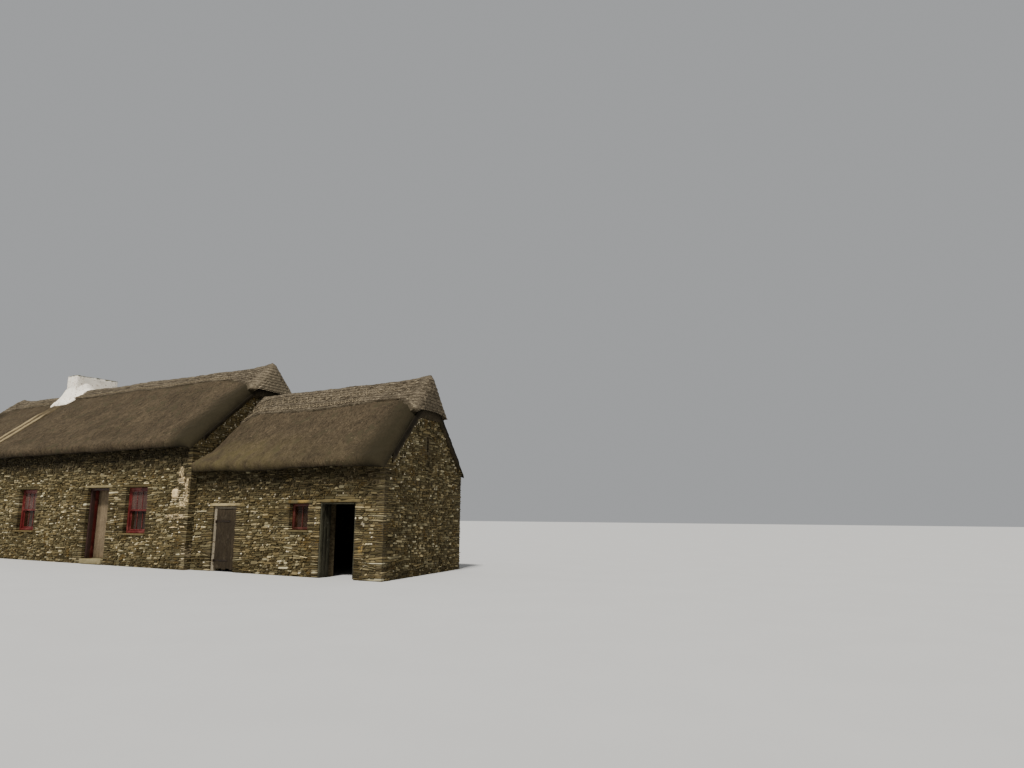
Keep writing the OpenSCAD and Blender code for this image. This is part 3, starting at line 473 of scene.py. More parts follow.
def smooth_patch(points, middle, reach):
    """From 1 at the middle of a round patch down to 0 a little past its reach on each axis."""
    away = np.sqrt(np.sum(((points - np.array(middle)) / np.array(reach)) ** 2, axis=1))
    return np.clip(1.4 - away, 0, 1)


lime_patches = [((3.71, 0, 2.45), (0.12, 0.5, 0.28)), ((3.93, 0, 1.95), (0.12, 0.5, 0.50)),
                ((3.51, 0, 1.95), (0.17, 0.5, 0.20)), ((3.56, 0, 1.36), (0.42, 0.5, 0.07)),
                ((4.0, 0, 0.5), (0.10, 0.5, 0.3))]
ochre_patches = [((9.86, 0.2, 0.68), (0.10, 0.5, 0.15)), ((8.03, 0.2, 1.75), (0.27, 0.5, 0.05))]
slit_stains = [((10.06, 2.40, 3.06), (0.4, 0.10, 0.36), 0.7), ((10.06, 2.40, 2.6), (0.4, 0.16, 0.35), 0.5)]
finishes_of_walls = []


def build_wall(name, face, nodes, planes, courses, seed):
    """One wall: the stones of its face, and the CAD's solids set back as their hearting."""
    levels, waves = courses
    rows = lay_stones(face, levels, seed)
    stones, quads, tris, tone, pins = stone_meshes(face, rows, levels, waves, seed + 50)
    core, core_tris = hearting(nodes, planes)
    points = np.concatenate([stones, core])
    tone = np.concatenate([tone, np.full(len(core), 0.5)])
    pins = np.concatenate([pins, np.zeros(len(core))])
    lime = sum(smooth_patch(points, *p) for p in lime_patches)
    ochre = sum(smooth_patch(points, *p) for p in ochre_patches)
    eave = face["eave"]
    # Darker up under the eaves, more so on the taller house: painted shade of the eaves on the wall. Also
    # darker at the foot and round the slit, for damp and stains.
    shade_and_damp = (1.13 if eave > 3 else 1.0) * np.clip((points[:, 2] - eave + 0.95) / 0.55, 0, 1) ** 1.3 \
        + 0.4 * np.clip(1 - points[:, 2] / 0.45, 0, 1)
    for middle, reach, share in slit_stains:
        shade_and_damp = shade_and_damp + share * smooth_patch(points, middle, reach)
    # The house gable's stones get paler tones than the rest of the walls: painted light, to lift the shade of
    # the hood and the byre's roof on them; its eave darkening is left off.
    if name == "house_gable":
        shade_and_damp, tone = 0 * shade_and_damp, 0.70 + 0.40 * (tone - 0.5)
    of_finish = [np.zeros(len(quads)), np.zeros(len(tris)), np.ones(len(core_tris))]
    piece = make_piece(name, points, [quads, tris, core_tris + len(stones)], finishes_of_walls, of_finish,
                       {"tone": tone, "pin": pins, "lime": lime, "ochre": ochre, "shade_and_damp": shade_and_damp}, crisp=36)
    return fit(piece, "masonry", nodes)


# Effects that several finishes share: weathering in clouds, growths in spots, and fibres. Each
# is a node group with its own inputs and outputs, so a finish only names sizes and tones.
def new_effect(name, takes, gives):
    kinds = {"colour": "NodeSocketColor", "value": "NodeSocketFloat", "place": "NodeSocketVector"}
    group = bpy.data.node_groups.new(name, "ShaderNodeTree")
    for label, kind in takes:
        group.interface.new_socket(label, in_out="INPUT", socket_type=kinds[kind])
    for label, kind in gives:
        group.interface.new_socket(label, in_out="OUTPUT", socket_type=kinds[kind])
    entry, leave = group.nodes.new("NodeGroupInput"), group.nodes.new("NodeGroupOutput")
    return group, entry.outputs, leave.inputs


def use_effect(tree, group, values):
    made = tree.nodes.new("ShaderNodeGroup")
    made.node_tree = group
    for label, value in values.items():
        if isinstance(value, bpy.types.NodeSocket):
            tree.links.new(value, made.inputs[label])
        else:
            made.inputs[label].default_value = (*value, 1) if isinstance(value, tuple) and len(value) == 3 \
                and made.inputs[label].type == "RGBA" else value
    return made.outputs


def sized_cloud(group, takes, detail, rough):
    """A noise whose size is the group's own Size input, in metres."""
    scale = calc(group, "DIVIDE", 1.0, takes["Size"])
    return add_node(group, "TexNoise", {"Vector": takes["Place"], "Scale": scale, "Detail": detail,
                                        "Roughness": rough}).outputs[0]


# Weathering: the colour darkens and lightens in clouds
weather, takes, gives = new_effect("weather", [("Colour", "colour"), ("Place", "place"), ("Size", "value"),
                                               ("Amount", "value")],
                                   [("Colour", "colour"), ("Mask", "value")])
cloud = sized_cloud(weather, takes, 5, 0.6)
swing = calc(weather, "MULTIPLY", spread(weather, cloud, 0.28, 0.72, -1.0, 1.0), takes["Amount"])
bright = calc(weather, "ADD", swing, 1.0)
weather.links.new(mix_tones(weather, 1.0, takes["Colour"], bright, "MULTIPLY"), gives["Colour"])
weather.links.new(cloud, gives["Mask"])

# Growth: lichen, moss or dirt in spots of a given size; Cover runs from none at 0 to nearly all at 1
growth, takes, gives = new_effect("growth", [("Colour", "colour"), ("Place", "place"), ("Size", "value"),
                                             ("Tint", "colour"), ("Cover", "value")],
                                  [("Colour", "colour"), ("Mask", "value")])
cloud = sized_cloud(growth, takes, 7, 0.68)
level_of = calc(growth, "MULTIPLY_ADD", takes["Cover"], -0.55, 0.78)
spot = spread(growth, calc(growth, "SUBTRACT", cloud, level_of), -0.03, 0.05)
growth.links.new(mix_tones(growth, spot, takes["Colour"], takes["Tint"]), gives["Colour"])
growth.links.new(spot, gives["Mask"])

# Fibres: fine streaks along the direction in which Place is squeezed; for wood and straw
fibres, takes, gives = new_effect("fibres", [("Place", "place"), ("Size", "value"), ("Light", "colour"),
                                             ("Dark", "colour")], [("Colour", "colour"), ("Height", "value")])
coarse = sized_cloud(fibres, takes, 6, 0.7)
fine_scale = calc(fibres, "DIVIDE", 4.0, takes["Size"])
fine = add_node(fibres, "TexNoise", {"Vector": takes["Place"], "Scale": fine_scale, "Detail": 3.0}).outputs[0]
strand = calc(fibres, "MULTIPLY_ADD", fine, 0.45, calc(fibres, "MULTIPLY", coarse, 0.55))
fibres.links.new(mix_tones(fibres, spread(fibres, strand, 0.34, 0.66), takes["Dark"], takes["Light"]),
                 gives["Colour"])
fibres.links.new(strand, gives["Height"])


def clouded(tree, colour, where, size, amount):
    return use_effect(tree, weather, {"Colour": colour, "Place": where, "Size": size,
                                      "Amount": amount})["Colour"]


def spotted(tree, colour, where, size, tint, cover):
    return use_effect(tree, growth, {"Colour": colour, "Place": where, "Size": size, "Tint": tint,
                                     "Cover": cover})["Colour"]


def streaky(tree, run, size, light, dark):
    return use_effect(tree, fibres, {"Place": run, "Size": size, "Light": light, "Dark": dark})


def read_mark(tree, mark):
    """A value that a piece keeps at its points."""
    return add_node(tree, "Attribute", attribute_name=mark).outputs["Fac"]


# Stone: warm grey-brown slabs with cream and rusty ones among them, lichened, with lime left on
# some of them
stone_finish, tree, shader = new_finish("rubble_stone", 0.88)
where = place_in(tree)
tone, pin, lime, ochre, shade_and_damp = (read_mark(tree, mark) for mark in ("tone", "pin", "lime", "ochre", "shade_and_damp"))
broad = grain(tree, where, 0.9, 3)
shifted = calc(tree, "ADD", tone, calc(tree, "MULTIPLY_ADD", broad, 0.44, -0.24), clamp=True)
ramp = add_node(tree, "ValToRGB", {0: shifted})
stops = ramp.color_ramp.elements
stops[0].position, stops[0].color = 0.0, (0.050, 0.036, 0.014, 1)
stops[1].position, stops[1].color = 1.0, (0.50, 0.41, 0.24, 1)
for spot, colour in [(0.25, (0.082, 0.061, 0.026)), (0.5, (0.118, 0.089, 0.040)),
                     (0.7, (0.160, 0.122, 0.058)), (0.86, (0.225, 0.175, 0.090)),
                     (0.95, (0.35, 0.28, 0.155))]:
    stop = stops.new(spot)
    stop.color = (*colour, 1)
own_hue = calc(tree, "FRACT", calc(tree, "MULTIPLY", tone, 37.0))
layers = grain(tree, place_in(tree, (1, 1, 5)), 0.09, 6, 0.65, 0.6)
speck = grain(tree, where, 0.02, 5, 0.7)
streaked = mix_tones(tree, layers, (0.62, 0.60, 0.58), (1.45, 1.42, 1.34))
shade = mix_tones(tree, 1.0, ramp.outputs[0], streaked, "MULTIPLY")
tinted = mix_tones(tree, own_hue, (1.10, 1.12, 1.09), (1.01, 1.16, 1.38))
shade = mix_tones(tree, 1.0, shade, tinted, "MULTIPLY")
shade = spotted(tree, shade, where, 0.05, (0.27, 0.225, 0.13), 0.26)
shade = spotted(tree, shade, where, 0.45, (0.105, 0.070, 0.022), 0.34)
ochre_spot = spread(tree, calc(tree, "ADD", ochre, calc(tree, "MULTIPLY", speck, 0.9)), 0.85, 1.35, 0, 0.6)
shade = mix_tones(tree, ochre_spot, shade, (0.40, 0.26, 0.07))
ragged = calc(tree, "ADD", lime, calc(tree, "MULTIPLY", grain(tree, where, 0.22, 4, 0.55), 0.9))
shade = mix_tones(tree, spread(tree, ragged, 0.88, 1.02, 0, 0.85), shade, (0.50, 0.41, 0.26))
bright_pin = calc(tree, "MULTIPLY", pin, calc(tree, "MULTIPLY_ADD", own_hue, 0.6, 0.2))
shade = mix_tones(tree, bright_pin, shade, (0.63, 0.56, 0.40))
# Painted shade: the stones are mixed towards a dark tone by the eave shade and damp mark, mostly the eaves'
# shadow, with real damp and stains.
shaded_wet = mix_tones(tree, 1.0, shade, (0.18, 0.172, 0.145), "MULTIPLY")
shade = mix_tones(tree, calc(tree, "MULTIPLY", shade_and_damp, 0.84, clamp=True), shade, shaded_wet)
wire(tree, shade, shader, "Base Color")
wire(tree, calc(tree, "MULTIPLY_ADD", layers, 0.2, 0.74), shader, "Roughness")
raise_by(tree, shader, calc(tree, "ADD", layers, calc(tree, "MULTIPLY", speck, 0.5)), 0.008, 0.9)

# Hearting: dark earthy mortar and small stuff behind the joints
earth_finish, tree, shader = new_finish("hearting", 0.95)
rubble = grain(tree, place_in(tree, (1, 1, 2.2)), 0.11, 5, 0.6)
earth = mix_tones(tree, spread(tree, rubble, 0.3, 0.7), (0.040, 0.031, 0.017), (0.120, 0.095, 0.054))
wire(tree, earth, shader, "Base Color")
raise_by(tree, shader, rubble, 0.03, 0.8)
finishes_of_walls += [stone_finish, earth_finish]


def blocks_from(start, holes):
    """What the courses leave free round the openings, measured along the wall from start."""
    blocks = []
    for middle, width, foot, head in holes.values():
        low, high = middle - width / 2, middle + width / 2
        blocks.append((low, high, foot, head, True))
        blocks.append((low - lintel_bear, high + lintel_bear, head, head + lintel_deep, False))
        if foot > 0:
            blocks.append((low - sill_bear, high + sill_bear, foot - sill_deep, foot, False))
    return [(a - start, b - start, c, d, e) for a, b, c, d, e in blocks]


def hole_planes(holes, front_y, thick):
    """The jambs' planes, each with its shift back behind the jamb stones."""
    def on_jamb(edge, foot, head):
        return lambda c: (np.abs(c[:, 0] - edge) < 1e-3) & (c[:, 2] > foot - 1e-3) \
            & (c[:, 2] < head + 1e-3) & (c[:, 1] < front_y + thick + 0.01)

    return [(on_jamb(middle + side * width / 2, foot, head), (side * mortar_in, 0, 0))
            for middle, width, foot, head in holes.values() for side in (-1, 1)]


def long_plane(y, facing):
    """Picks the points on a long wall's outer face, and gives their shift behind its stones."""
    return lambda c: np.abs(c[:, 1] - y) < 1e-3, (0, -facing * mortar_in, 0)


def gable_plane(roof):
    """The same for the outer face of a gable."""
    turn_back, back = math.atan(roof["lean"]), -mortar_in * roof["facing"]
    from_face = lambda c: c[:, 0] - roof["corner_x"] + (c[:, 1] - roof["corner_y"]) * roof["lean"]
    return lambda c: np.abs(from_face(c)) < 2e-3, (back * math.cos(turn_back), back * math.sin(turn_back), 0)


few_pins = lambda u, z: 0.03 + 0.07 * math.exp(-((z - 1.3) / 0.7) ** 2)
front_long, back_long = -2.08, -1.55


def long_face(roof, marks, head_z, corner_top, start, reach, corners, facing, blocks=()):
    """The face of a front (facing -1) or of a back, laid from left to right as one looks at it."""
    return dict(origin=(*start, 0), along=(-facing, 0, 0), out=(0, facing, 0), span=lambda z: reach,
                head=lambda u: head_z + 0 * u, corner_top=corner_top, corners=[(plan, 0) for plan in corners],
                shear=(0, -roof["lean"]) if facing < 0 else (-roof["lean"], 0), eave=roof["wall"],
                long=front_long if facing < 0 else back_long, blocks=blocks, pins=few_pins,
                marks=np.array(marks))


def gable_face(roof, marks, corners, blocks=()):
    """The face of a gable; small pins fill up along its slopes."""
    facing, turn_back = roof["facing"], math.atan(roof["lean"])
    along = (-math.sin(turn_back), facing * math.cos(turn_back), 0)
    out = (facing * math.cos(turn_back), math.sin(turn_back), 0)
    length = 2 * roof["half"] / math.cos(turn_back)
    rise = math.tan(roof["slope"])
    stretch = length / (2 * roof["half"])
    reach = lambda z: max(0.0, (z - roof["wall"]) / rise) * stretch

    def pins(u, z):
        inside = length / 2 - abs(u - length / 2) - reach(z)
        return 0.03 + 0.24 * math.exp(-((inside - 0.40) / 0.42) ** 2) * min(1.0, max(0.0, (z - 1.5) / 0.8))

    first_y = roof["corner_y"] if facing > 0 else roof["corner_y"] + house_deep
    return dict(origin=(roof["corner_x"], first_y, 0), along=along, out=out,
                span=lambda z: (reach(z), length - reach(z)),
                head=lambda u: roof["wall"] + (roof["half"] - np.abs(u / stretch - roof["half"])) * rise,
                corner_top=roof["wall"], corners=[(plan, 1) for plan in corners], blocks=blocks, pins=pins,
                marks=np.array(marks), shear=(roof["lean"], roof["lean"]), eave=roof["wall"] + 2.2,
                long=front_long if facing > 0 else back_long)


house_marks = [0, 0.15, 0.84, 0.895, 2.157, 2.238, 3.23, 5.6]
house_courses = course_levels(house_marks, 0.044, 5)
south_east, north_east, south_west, north_west = (corner_plan(len(house_courses[0]), seed)
                                                  for seed in (12, 11, 13, 14))
house_size = dict(roof=HOUSE, marks=house_marks, head_z=3.30, corner_top=3.4)
house_back_x1 = house_x1 - house_deep * HOUSE["lean"]
house_front = long_face(start=(room_x0, 0), reach=(0, house_x1 - room_x0),
                        corners=(south_west, south_east), facing=-1,
                        blocks=blocks_from(room_x0, house_holes), **house_size)
house_back = long_face(start=(house_back_x1, house_deep), reach=(0, house_back_x1 - room_x0),
                       corners=(north_east, north_west), facing=1, **house_size)
back_planes = [long_plane(house_deep, 1), gable_plane(HOUSE), gable_plane(ROOM)]
front_planes = [long_plane(0, -1)] + back_planes + hole_planes(house_holes, 0, wall_thick)
room_wide = hearth_x0 - room_x0
build_wall("room_front", dict(house_front, only=(-9, room_wide)), ["room_front_wall", "hearth_wall"],
           front_planes, house_courses, 100)
build_wall("house_front", dict(house_front, only=(room_wide, 99)),
           ["house_front_west", "house_door_head", "house_front_east"], front_planes, house_courses, 100)
build_wall("house_back", house_back, ["room_back_wall", "house_back_wall"], back_planes, house_courses, 200)

# The byre hides the lower part of the house's gable, up to just above its own ridge
byre_top = BYRE["wall"] + 0.28 / math.cos(BYRE["slope"])
under_byre = [(0.75, 3.9, 0, 2.3, False)]
step = 0.25
for z in (2.3 + k * step for k in range(9)):
    half_width = min(1.6, BYRE["half"] - (z - byre_top + 0.45) / math.tan(BYRE["slope"]))
    if half_width > 0.1:
        under_byre.append((BYRE["mid"] - half_width, BYRE["mid"] + half_width, z, z + step, False))
build_wall("house_gable", gable_face(HOUSE, house_marks, (south_east, north_east), under_byre),
           ["house_end_gable"], [gable_plane(HOUSE)], house_courses, 300)
build_wall("room_gable", gable_face(ROOM, house_marks, (north_west, south_west)),
           ["room_end_gable"], [gable_plane(ROOM)], house_courses, 400)

byre_marks = [0, 1.02, 1.075, 1.635, 1.716, 1.80, 2.57, 3.015, 3.39, 4.58]
byre_courses = course_levels(byre_marks, 0.044, 6)
south_east, north_east = (corner_plan(len(byre_courses[0]), seed) for seed in (15, 16))
byre_size = dict(roof=BYRE, marks=byre_marks, head_z=2.64, corner_top=2.7)
byre_back_y = byre_y0 + byre_deep
byre_back_x0, byre_back_x1 = house_x1 - byre_back_y * HOUSE["lean"], byre_x1 - byre_deep * BYRE["lean"]
byre_front = long_face(start=(house_x1, byre_y0), reach=(-0.022, byre_x1 - house_x1),
                       corners=(None, south_east), facing=-1,
                       blocks=blocks_from(house_x1, byre_holes), **byre_size)
byre_back = long_face(start=(byre_back_x1, byre_back_y), reach=(0, byre_back_x1 - byre_back_x0),
                      corners=(north_east, None), facing=1, **byre_size)
build_wall("byre_front", byre_front,
           ["byre_front_west", "byre_front_middle", "byre_front_east", "byre_door_head", "byre_doorway_head"],
           [long_plane(byre_y0, -1), gable_plane(BYRE)] + hole_planes(byre_holes, byre_y0, byre_wall_thick),
           byre_courses, 500)
build_wall("byre_back", byre_back, ["byre_back_wall"], [long_plane(byre_back_y, 1), gable_plane(BYRE)],
           byre_courses, 600)
slit_middle = byre_deep / math.cos(math.atan(BYRE["lean"])) / 2
slit = (slit_middle - 0.070, slit_middle + 0.070, 2.93, 3.42, True)
build_wall("byre_gable", gable_face(BYRE, byre_marks, (south_east, north_east), [slit]),
           ["byre_end_gable"], [gable_plane(BYRE)], byre_courses, 700)


# Scabs of old lime render still cling to the stones at the house's right-hand corner. They are
# a finger thick at most, ragged all round, and dirty but for one squarish patch.
def band_faces(rings, around):
    """The faces between closed rings of points that follow one another."""
    i, k = np.meshgrid(np.arange(rings - 1), np.arange(around), indexing="ij")
    k2 = (k + 1) % around
    return np.stack([i * around + k, (i + 1) * around + k, (i + 1) * around + k2, i * around + k2],
                    -1).reshape(-1, 4)


def lid_faces(around):
    """The faces that close the first ring, which has an even number of points."""
    return np.array([[j, j + 1, around - 2 - j, around - 1 - j] for j in range(around // 2 - 1)])


def pile_up(blocks):
    """Joins blocks into one set of points and faces, and numbers the block of each point."""
    counts = [len(p) for p, _ in blocks]
    starts = np.concatenate([[0], np.cumsum(counts)[:-1]])
    points = np.concatenate([p for p, _ in blocks])
    quads = np.concatenate([q + a for (_, q), a in zip(blocks, starts)])
    return points, quads, np.repeat(np.arange(len(blocks)), counts)


def set_blocks(name, blocks, finish, nodes, marks=None, body="masonry", crisp=50):
    """One piece from blocks; each mark has one value for each block."""
    points, quads, number = pile_up(blocks)
    marks = {mark: np.asarray(values, float)[number] for mark, values in (marks or {}).items()}
    return fit(make_piece(name, points, [quads], [finish], marks=marks, crisp=crisp), body, nodes)


scab_places = ((3.70, 2.55, 0.10, 0.14), (3.78, 2.32, 0.06, 0.10), (3.49, 1.97, 0.125, 0.125),
               (3.96, 2.16, 0.05, 0.19), (3.80, 1.68, 0.13, 0.09), (3.98, 1.80, 0.06, 0.12),
               (3.36, 1.37, 0.13, 0.030), (3.60, 1.41, 0.15, 0.025), (3.80, 1.34, 0.11, 0.030),
               (3.55, 1.08, 0.22, 0.018), (3.90, 1.10, 0.10, 0.020))
squarish, around, rings_out = 2, 28, 5
a = np.linspace(0, 2 * math.pi, around, endpoint=False)
share = np.linspace(0.08, 1, rings_out)[:, None]
scabs = []
for i, (x, z, wide, high) in enumerate(scab_places):
    power, ragged = (0.45, 0.06) if i == squarish else (1.0, 0.26)
    cos_a, sin_a = (np.sign(c) * np.abs(c) ** power for c in (np.cos(a), np.sin(a)))
    circle = np.column_stack([np.cos(a), np.sin(a), np.full(around, i * 3.1)])
    edge_at = 1 + ragged * ripple(circle, 1.1, 60 + i)
    px, pz = x + wide * share * edge_at * cos_a, z + high * share * edge_at * sin_a
    out = -0.016 + 0.030 * np.clip((share - 0.8) / 0.2, 0, 1) + 0 * px
    out = out + 0.004 * ripple(np.stack([px, out, pz], -1).reshape(-1, 3), 0.12, 66).reshape(px.shape)
    scabs.append((np.stack([px, out, pz], -1).reshape(-1, 3),
                  np.concatenate([band_faces(rings_out, around), lid_faces(around)])))
scab_finish, tree, shader = new_finish("render_scabs", 0.9)
where = place_in(tree)
lime_tone = clouded(tree, (0.74, 0.56, 0.30), where, 0.12, 0.30)
dirtied = spotted(tree, lime_tone, where, 0.05, (0.20, 0.16, 0.090), 0.58)
clean = calc(tree, "MULTIPLY", read_mark(tree, "bright"), 0.85)
wire(tree, mix_tones(tree, clean, dirtied, lime_tone), shader, "Base Color")
raise_by(tree, shader, grain(tree, where, 0.04, 6, 0.65), 0.008, 0.8)
set_blocks("render_scabs", scabs, scab_finish, (),
           {"bright": np.arange(len(scabs)) == squarish}, crisp=70)


# Lintels, sills and the doorstep: long rough slabs bedded in the walls. The lintels lie over
# every opening with their faces a finger proud, the sills stand out below the windows.
def lattice_block(lines):
    """The skin of a block with lattice lines at the given places along each axis."""
    shape = tuple(len(line) for line in lines)
    skin = np.ones(shape, bool)
    skin[1:-1, 1:-1, 1:-1] = False
    index = np.full(shape, -1)
    index[skin] = np.arange(skin.sum())
    quads = []
    for axis in range(3):
        for end in (0, -1):
            sheet = np.take(index, end, axis)
            quad = [sheet[:-1, :-1], sheet[1:, :-1], sheet[1:, 1:], sheet[:-1, 1:]]
            quad = np.stack(quad, -1).reshape(-1, 4)
            quads.append(quad[:, ::-1] if (end == 0) != (axis == 1) else quad)
    return np.stack(np.meshgrid(*lines, indexing="ij"), -1)[skin], np.concatenate(quads)


def worn_block(low, high, edge, lump, cell, seed):
    """A block from corner to corner with rounded edges, its faces dented inwards by up to lump."""
    low, high = np.array(low, float), np.array(high, float)
    lines = []
    for a in range(3):
        inner = max(1, round((high[a] - low[a] - 2 * edge) / cell))
        inside = np.linspace(low[a] + edge, high[a] - edge, inner + 1)
        lines.append(np.concatenate([[low[a]], inside, [high[a]]]))
    points, quads = lattice_block(lines)
    at_low, at_high = points <= low + 1e-9, points >= high - 1e-9
    ends = (at_low | at_high).sum(1)
    inward = at_low.astype(float) - at_high
    waves = ripple(points, 9 * cell, seed) * 0.6 + ripple(points, 3 * cell, seed + 1) * 0.6
    dent = 0.5 + 0.5 * np.clip(waves, -1, 1)
    points += inward * (edge * np.array([0, 0, 0.30, 0.42])[ends] + lump * dent)[:, None]
    return points, quads


all_holes = [(*hole, 0.0, wall_thick) for hole in house_holes.values()]
all_holes += [(*hole, byre_y0, byre_wall_thick) for hole in byre_holes.values()]
lintel_proud, sill_proud, sill_in = 0.010, 0.045, 0.21
slabs = [worn_block((middle - width / 2 - lintel_bear, front - lintel_proud, head),
                    (middle + width / 2 + lintel_bear, front + thick, head + lintel_deep),
                    0.012, 0.010, 0.07, 20 + i)
         for i, (middle, width, foot, head, front, thick) in enumerate(all_holes)]
points, quads, number = pile_up(slabs)
lintels = make_piece("lintels", points, [quads], [stone_finish], marks={
    "tone": np.array([0.80, 0.12, 0.10, 0.15, 0.55, 0.90, 0.35])[number],
    "ochre": sum(smooth_patch(points, *p) for p in ochre_patches)}, crisp=50)
fit(lintels, "masonry", ["stone_lintels"])

slabs = [worn_block((middle - width / 2 - sill_bear, front - sill_proud, foot - sill_deep),
                    (middle + width / 2 + sill_bear, front + sill_in, foot), 0.010, 0.006, 0.07, 40 + i)
         for i, (middle, width, foot, head, front, thick) in enumerate(all_holes) if foot > 0]
set_blocks("sills", slabs, stone_finish, ["window_sills"], {"tone": [0.44, 0.46, 0.42, 0.34]})

door_half, step_high = 0.515, 0.15
doorstep = worn_block((-door_half, -0.06, 0), (door_half, wall_thick, step_high), 0.018, 0.014, 0.06, 60)
set_blocks("doorstep", [doorstep], stone_finish, ["house_threshold"],
           {"tone": [0.86], "ochre": [0.25]})


# Painted joinery: deep softwood frames set back in the walls, each with two sliding sashes three
# panes wide. The bars, stiles and rails are single sticks, mortised and painted crimson.
def ring_of_sticks(x0, x1, y0, y1, z0, z1, thick, seed):
    """Four sticks round an opening: the uprights run through, the cross pieces fit between."""
    edge, lump, cell = 0.004, 0.0012, 0.12
    return [worn_block((x0, y0, z0), (x0 + thick, y1, z1), edge, lump, cell, seed),
            worn_block((x1 - thick, y0, z0), (x1, y1, z1), edge, lump, cell, seed + 1),
            worn_block((x0 + thick, y0, z0), (x1 - thick, y1, z0 + thick), edge, lump, cell, seed + 2),
            worn_block((x0 + thick, y0, z1 - thick), (x1 - thick, y1, z1), edge, lump, cell, seed + 3)]


frame_wide, frame_deep, set_back = 0.065, 0.10, 0.11
stile, sash_deep, sash_in, bar_wide, bar_deep, bar_in = 0.048, 0.040, 0.010, 0.020, 0.028, 0.006
thin_bar = (0.003, 0.0008, 0.1)

paint_finish, tree, shader = new_finish("crimson_paint", 0.62, 0.3)
where = place_in(tree)
wood_run = streaky(tree, place_in(tree, (6, 6, 1)), 0.10, (0.32, 0.25, 0.18), (0.20, 0.15, 0.10))
paint = clouded(tree, (0.090, 0.009, 0.008), where, 0.5, 0.35)
paint = spotted(tree, paint, where, 0.30, (0.150, 0.035, 0.028), 0.45)
across, inward, _ = add_node(tree, "SeparateXYZ", {0: where}).outputs
# Painted shade: the outer part of the house door's box frame, next to the wall's face, is darkened as the
# shadow of the jamb's reveal.
by_door = spread(tree, calc(tree, "ABSOLUTE", across), 0.62, 0.55)
reveal_shade = calc(tree, "MULTIPLY", spread(tree, inward, 0.25, 0.19), by_door)
paint = mix_tones(tree, calc(tree, "MULTIPLY", reveal_shade, 0.85), paint, (0.022, 0.016, 0.012))
# The byre window's frame is darker: dirt, and painted shade for the shadow it stands in.
byre_dirt_and_shade = spread(tree, across, 4.2, 4.6)
paint = mix_tones(tree, calc(tree, "MULTIPLY", byre_dirt_and_shade, 0.45), paint, (0.024, 0.016, 0.007))
worn = use_effect(tree, growth, {"Place": where, "Size": 0.045, "Cover": 0.20})["Mask"]
wire(tree, mix_tones(tree, worn, paint, wood_run["Colour"]), shader, "Base Color")
wire(tree, calc(tree, "MULTIPLY_ADD", worn, 0.30, 0.48), shader, "Roughness")
relief = calc(tree, "SUBTRACT", calc(tree, "MULTIPLY", wood_run["Height"], 0.5), worn)
raise_by(tree, shader, relief, 0.0015, 0.7)

for name in ("room_window", "west_window", "east_window"):
    middle, width, foot, head = house_holes[name]
    x0, x1, y0 = middle - width / 2, middle + width / 2, set_back
    sticks = ring_of_sticks(x0, x1, y0, y0 + frame_deep, foot, head, frame_wide, 70)
    sash_high = (head - foot - 2 * frame_wide + stile) / 2
    inner0, inner1 = x0 + frame_wide, x1 - frame_wide
    pane = (inner1 - inner0 - 2 * stile) / 3
    for low_z, y in ((head - frame_wide - sash_high, y0 + sash_in),
                     (foot + frame_wide, y0 + sash_in + sash_deep)):
        sticks += ring_of_sticks(inner0 + 0.001, inner1 - 0.001, y, y + sash_deep,
                                 low_z, low_z + sash_high, stile, 80)
        for k in (1, 2):
            bar_x = inner0 + stile + k * pane
            sticks.append(worn_block((bar_x - bar_wide / 2, y + bar_in, low_z + stile),
                                     (bar_x + bar_wide / 2, y + bar_in + bar_deep, low_z + sash_high - stile),
                                     *thin_bar, 90 + k))
    set_blocks(name + "_sashes", sticks, paint_finish, [name])

middle, width, foot, head = byre_holes["window"]
y0 = byre_y0 + set_back
sticks = ring_of_sticks(middle - width / 2, middle + width / 2, y0, y0 + frame_deep,
                        foot, head, frame_wide, 100)
sticks.append(worn_block((middle - 0.014, y0 + 0.030, foot + frame_wide),
                         (middle + 0.014, y0 + 0.070, head - frame_wide), *thin_bar, 104))
set_blocks("byre_window_frame", sticks, paint_finish, ["byre_window"])


# The glass: thin old sheet, puttied into the sashes and a little dirty; its dark brown colour is painted
# shade for the dim room behind it, and the upper sashes of the house are coloured paler. The CAD's own panes
# carry the finish.
def give_finish(finish, *nodes):
    for node in nodes:
        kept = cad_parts[node].data.materials
        kept.clear()
        kept.append(finish)


glass_finish, tree, shader = new_finish("old_glass", 0.06, 0.4)
shader.inputs["Transmission Weight"].default_value = 0.6
shader.inputs["IOR"].default_value = 1.25
where = place_in(tree)
dirt = grain(tree, where, 0.25, 6, 0.7)
# Painted shade: the glass is coloured dark brown for the dim room behind it.
clear = mix_tones(tree, spread(tree, dirt, 0.45, 0.75), (0.050, 0.024, 0.012), (0.098, 0.056, 0.034))
paler_upper_panes = mix_tones(tree, spread(tree, dirt, 0.35, 0.7), (0.150, 0.082, 0.066), (0.230, 0.135, 0.110))
across, _, upward = add_node(tree, "SeparateXYZ", {0: where}).outputs
upper_sash = calc(tree, "MULTIPLY", spread(tree, upward, 1.53, 1.56), spread(tree, across, 4.0, 3.5))
wire(tree, mix_tones(tree, upper_sash, clear, paler_upper_panes), shader, "Base Color")
wire(tree, spread(tree, dirt, 0.35, 0.8, 0.03, 0.20), shader, "Roughness")
give_finish(glass_finish, "window_glass")


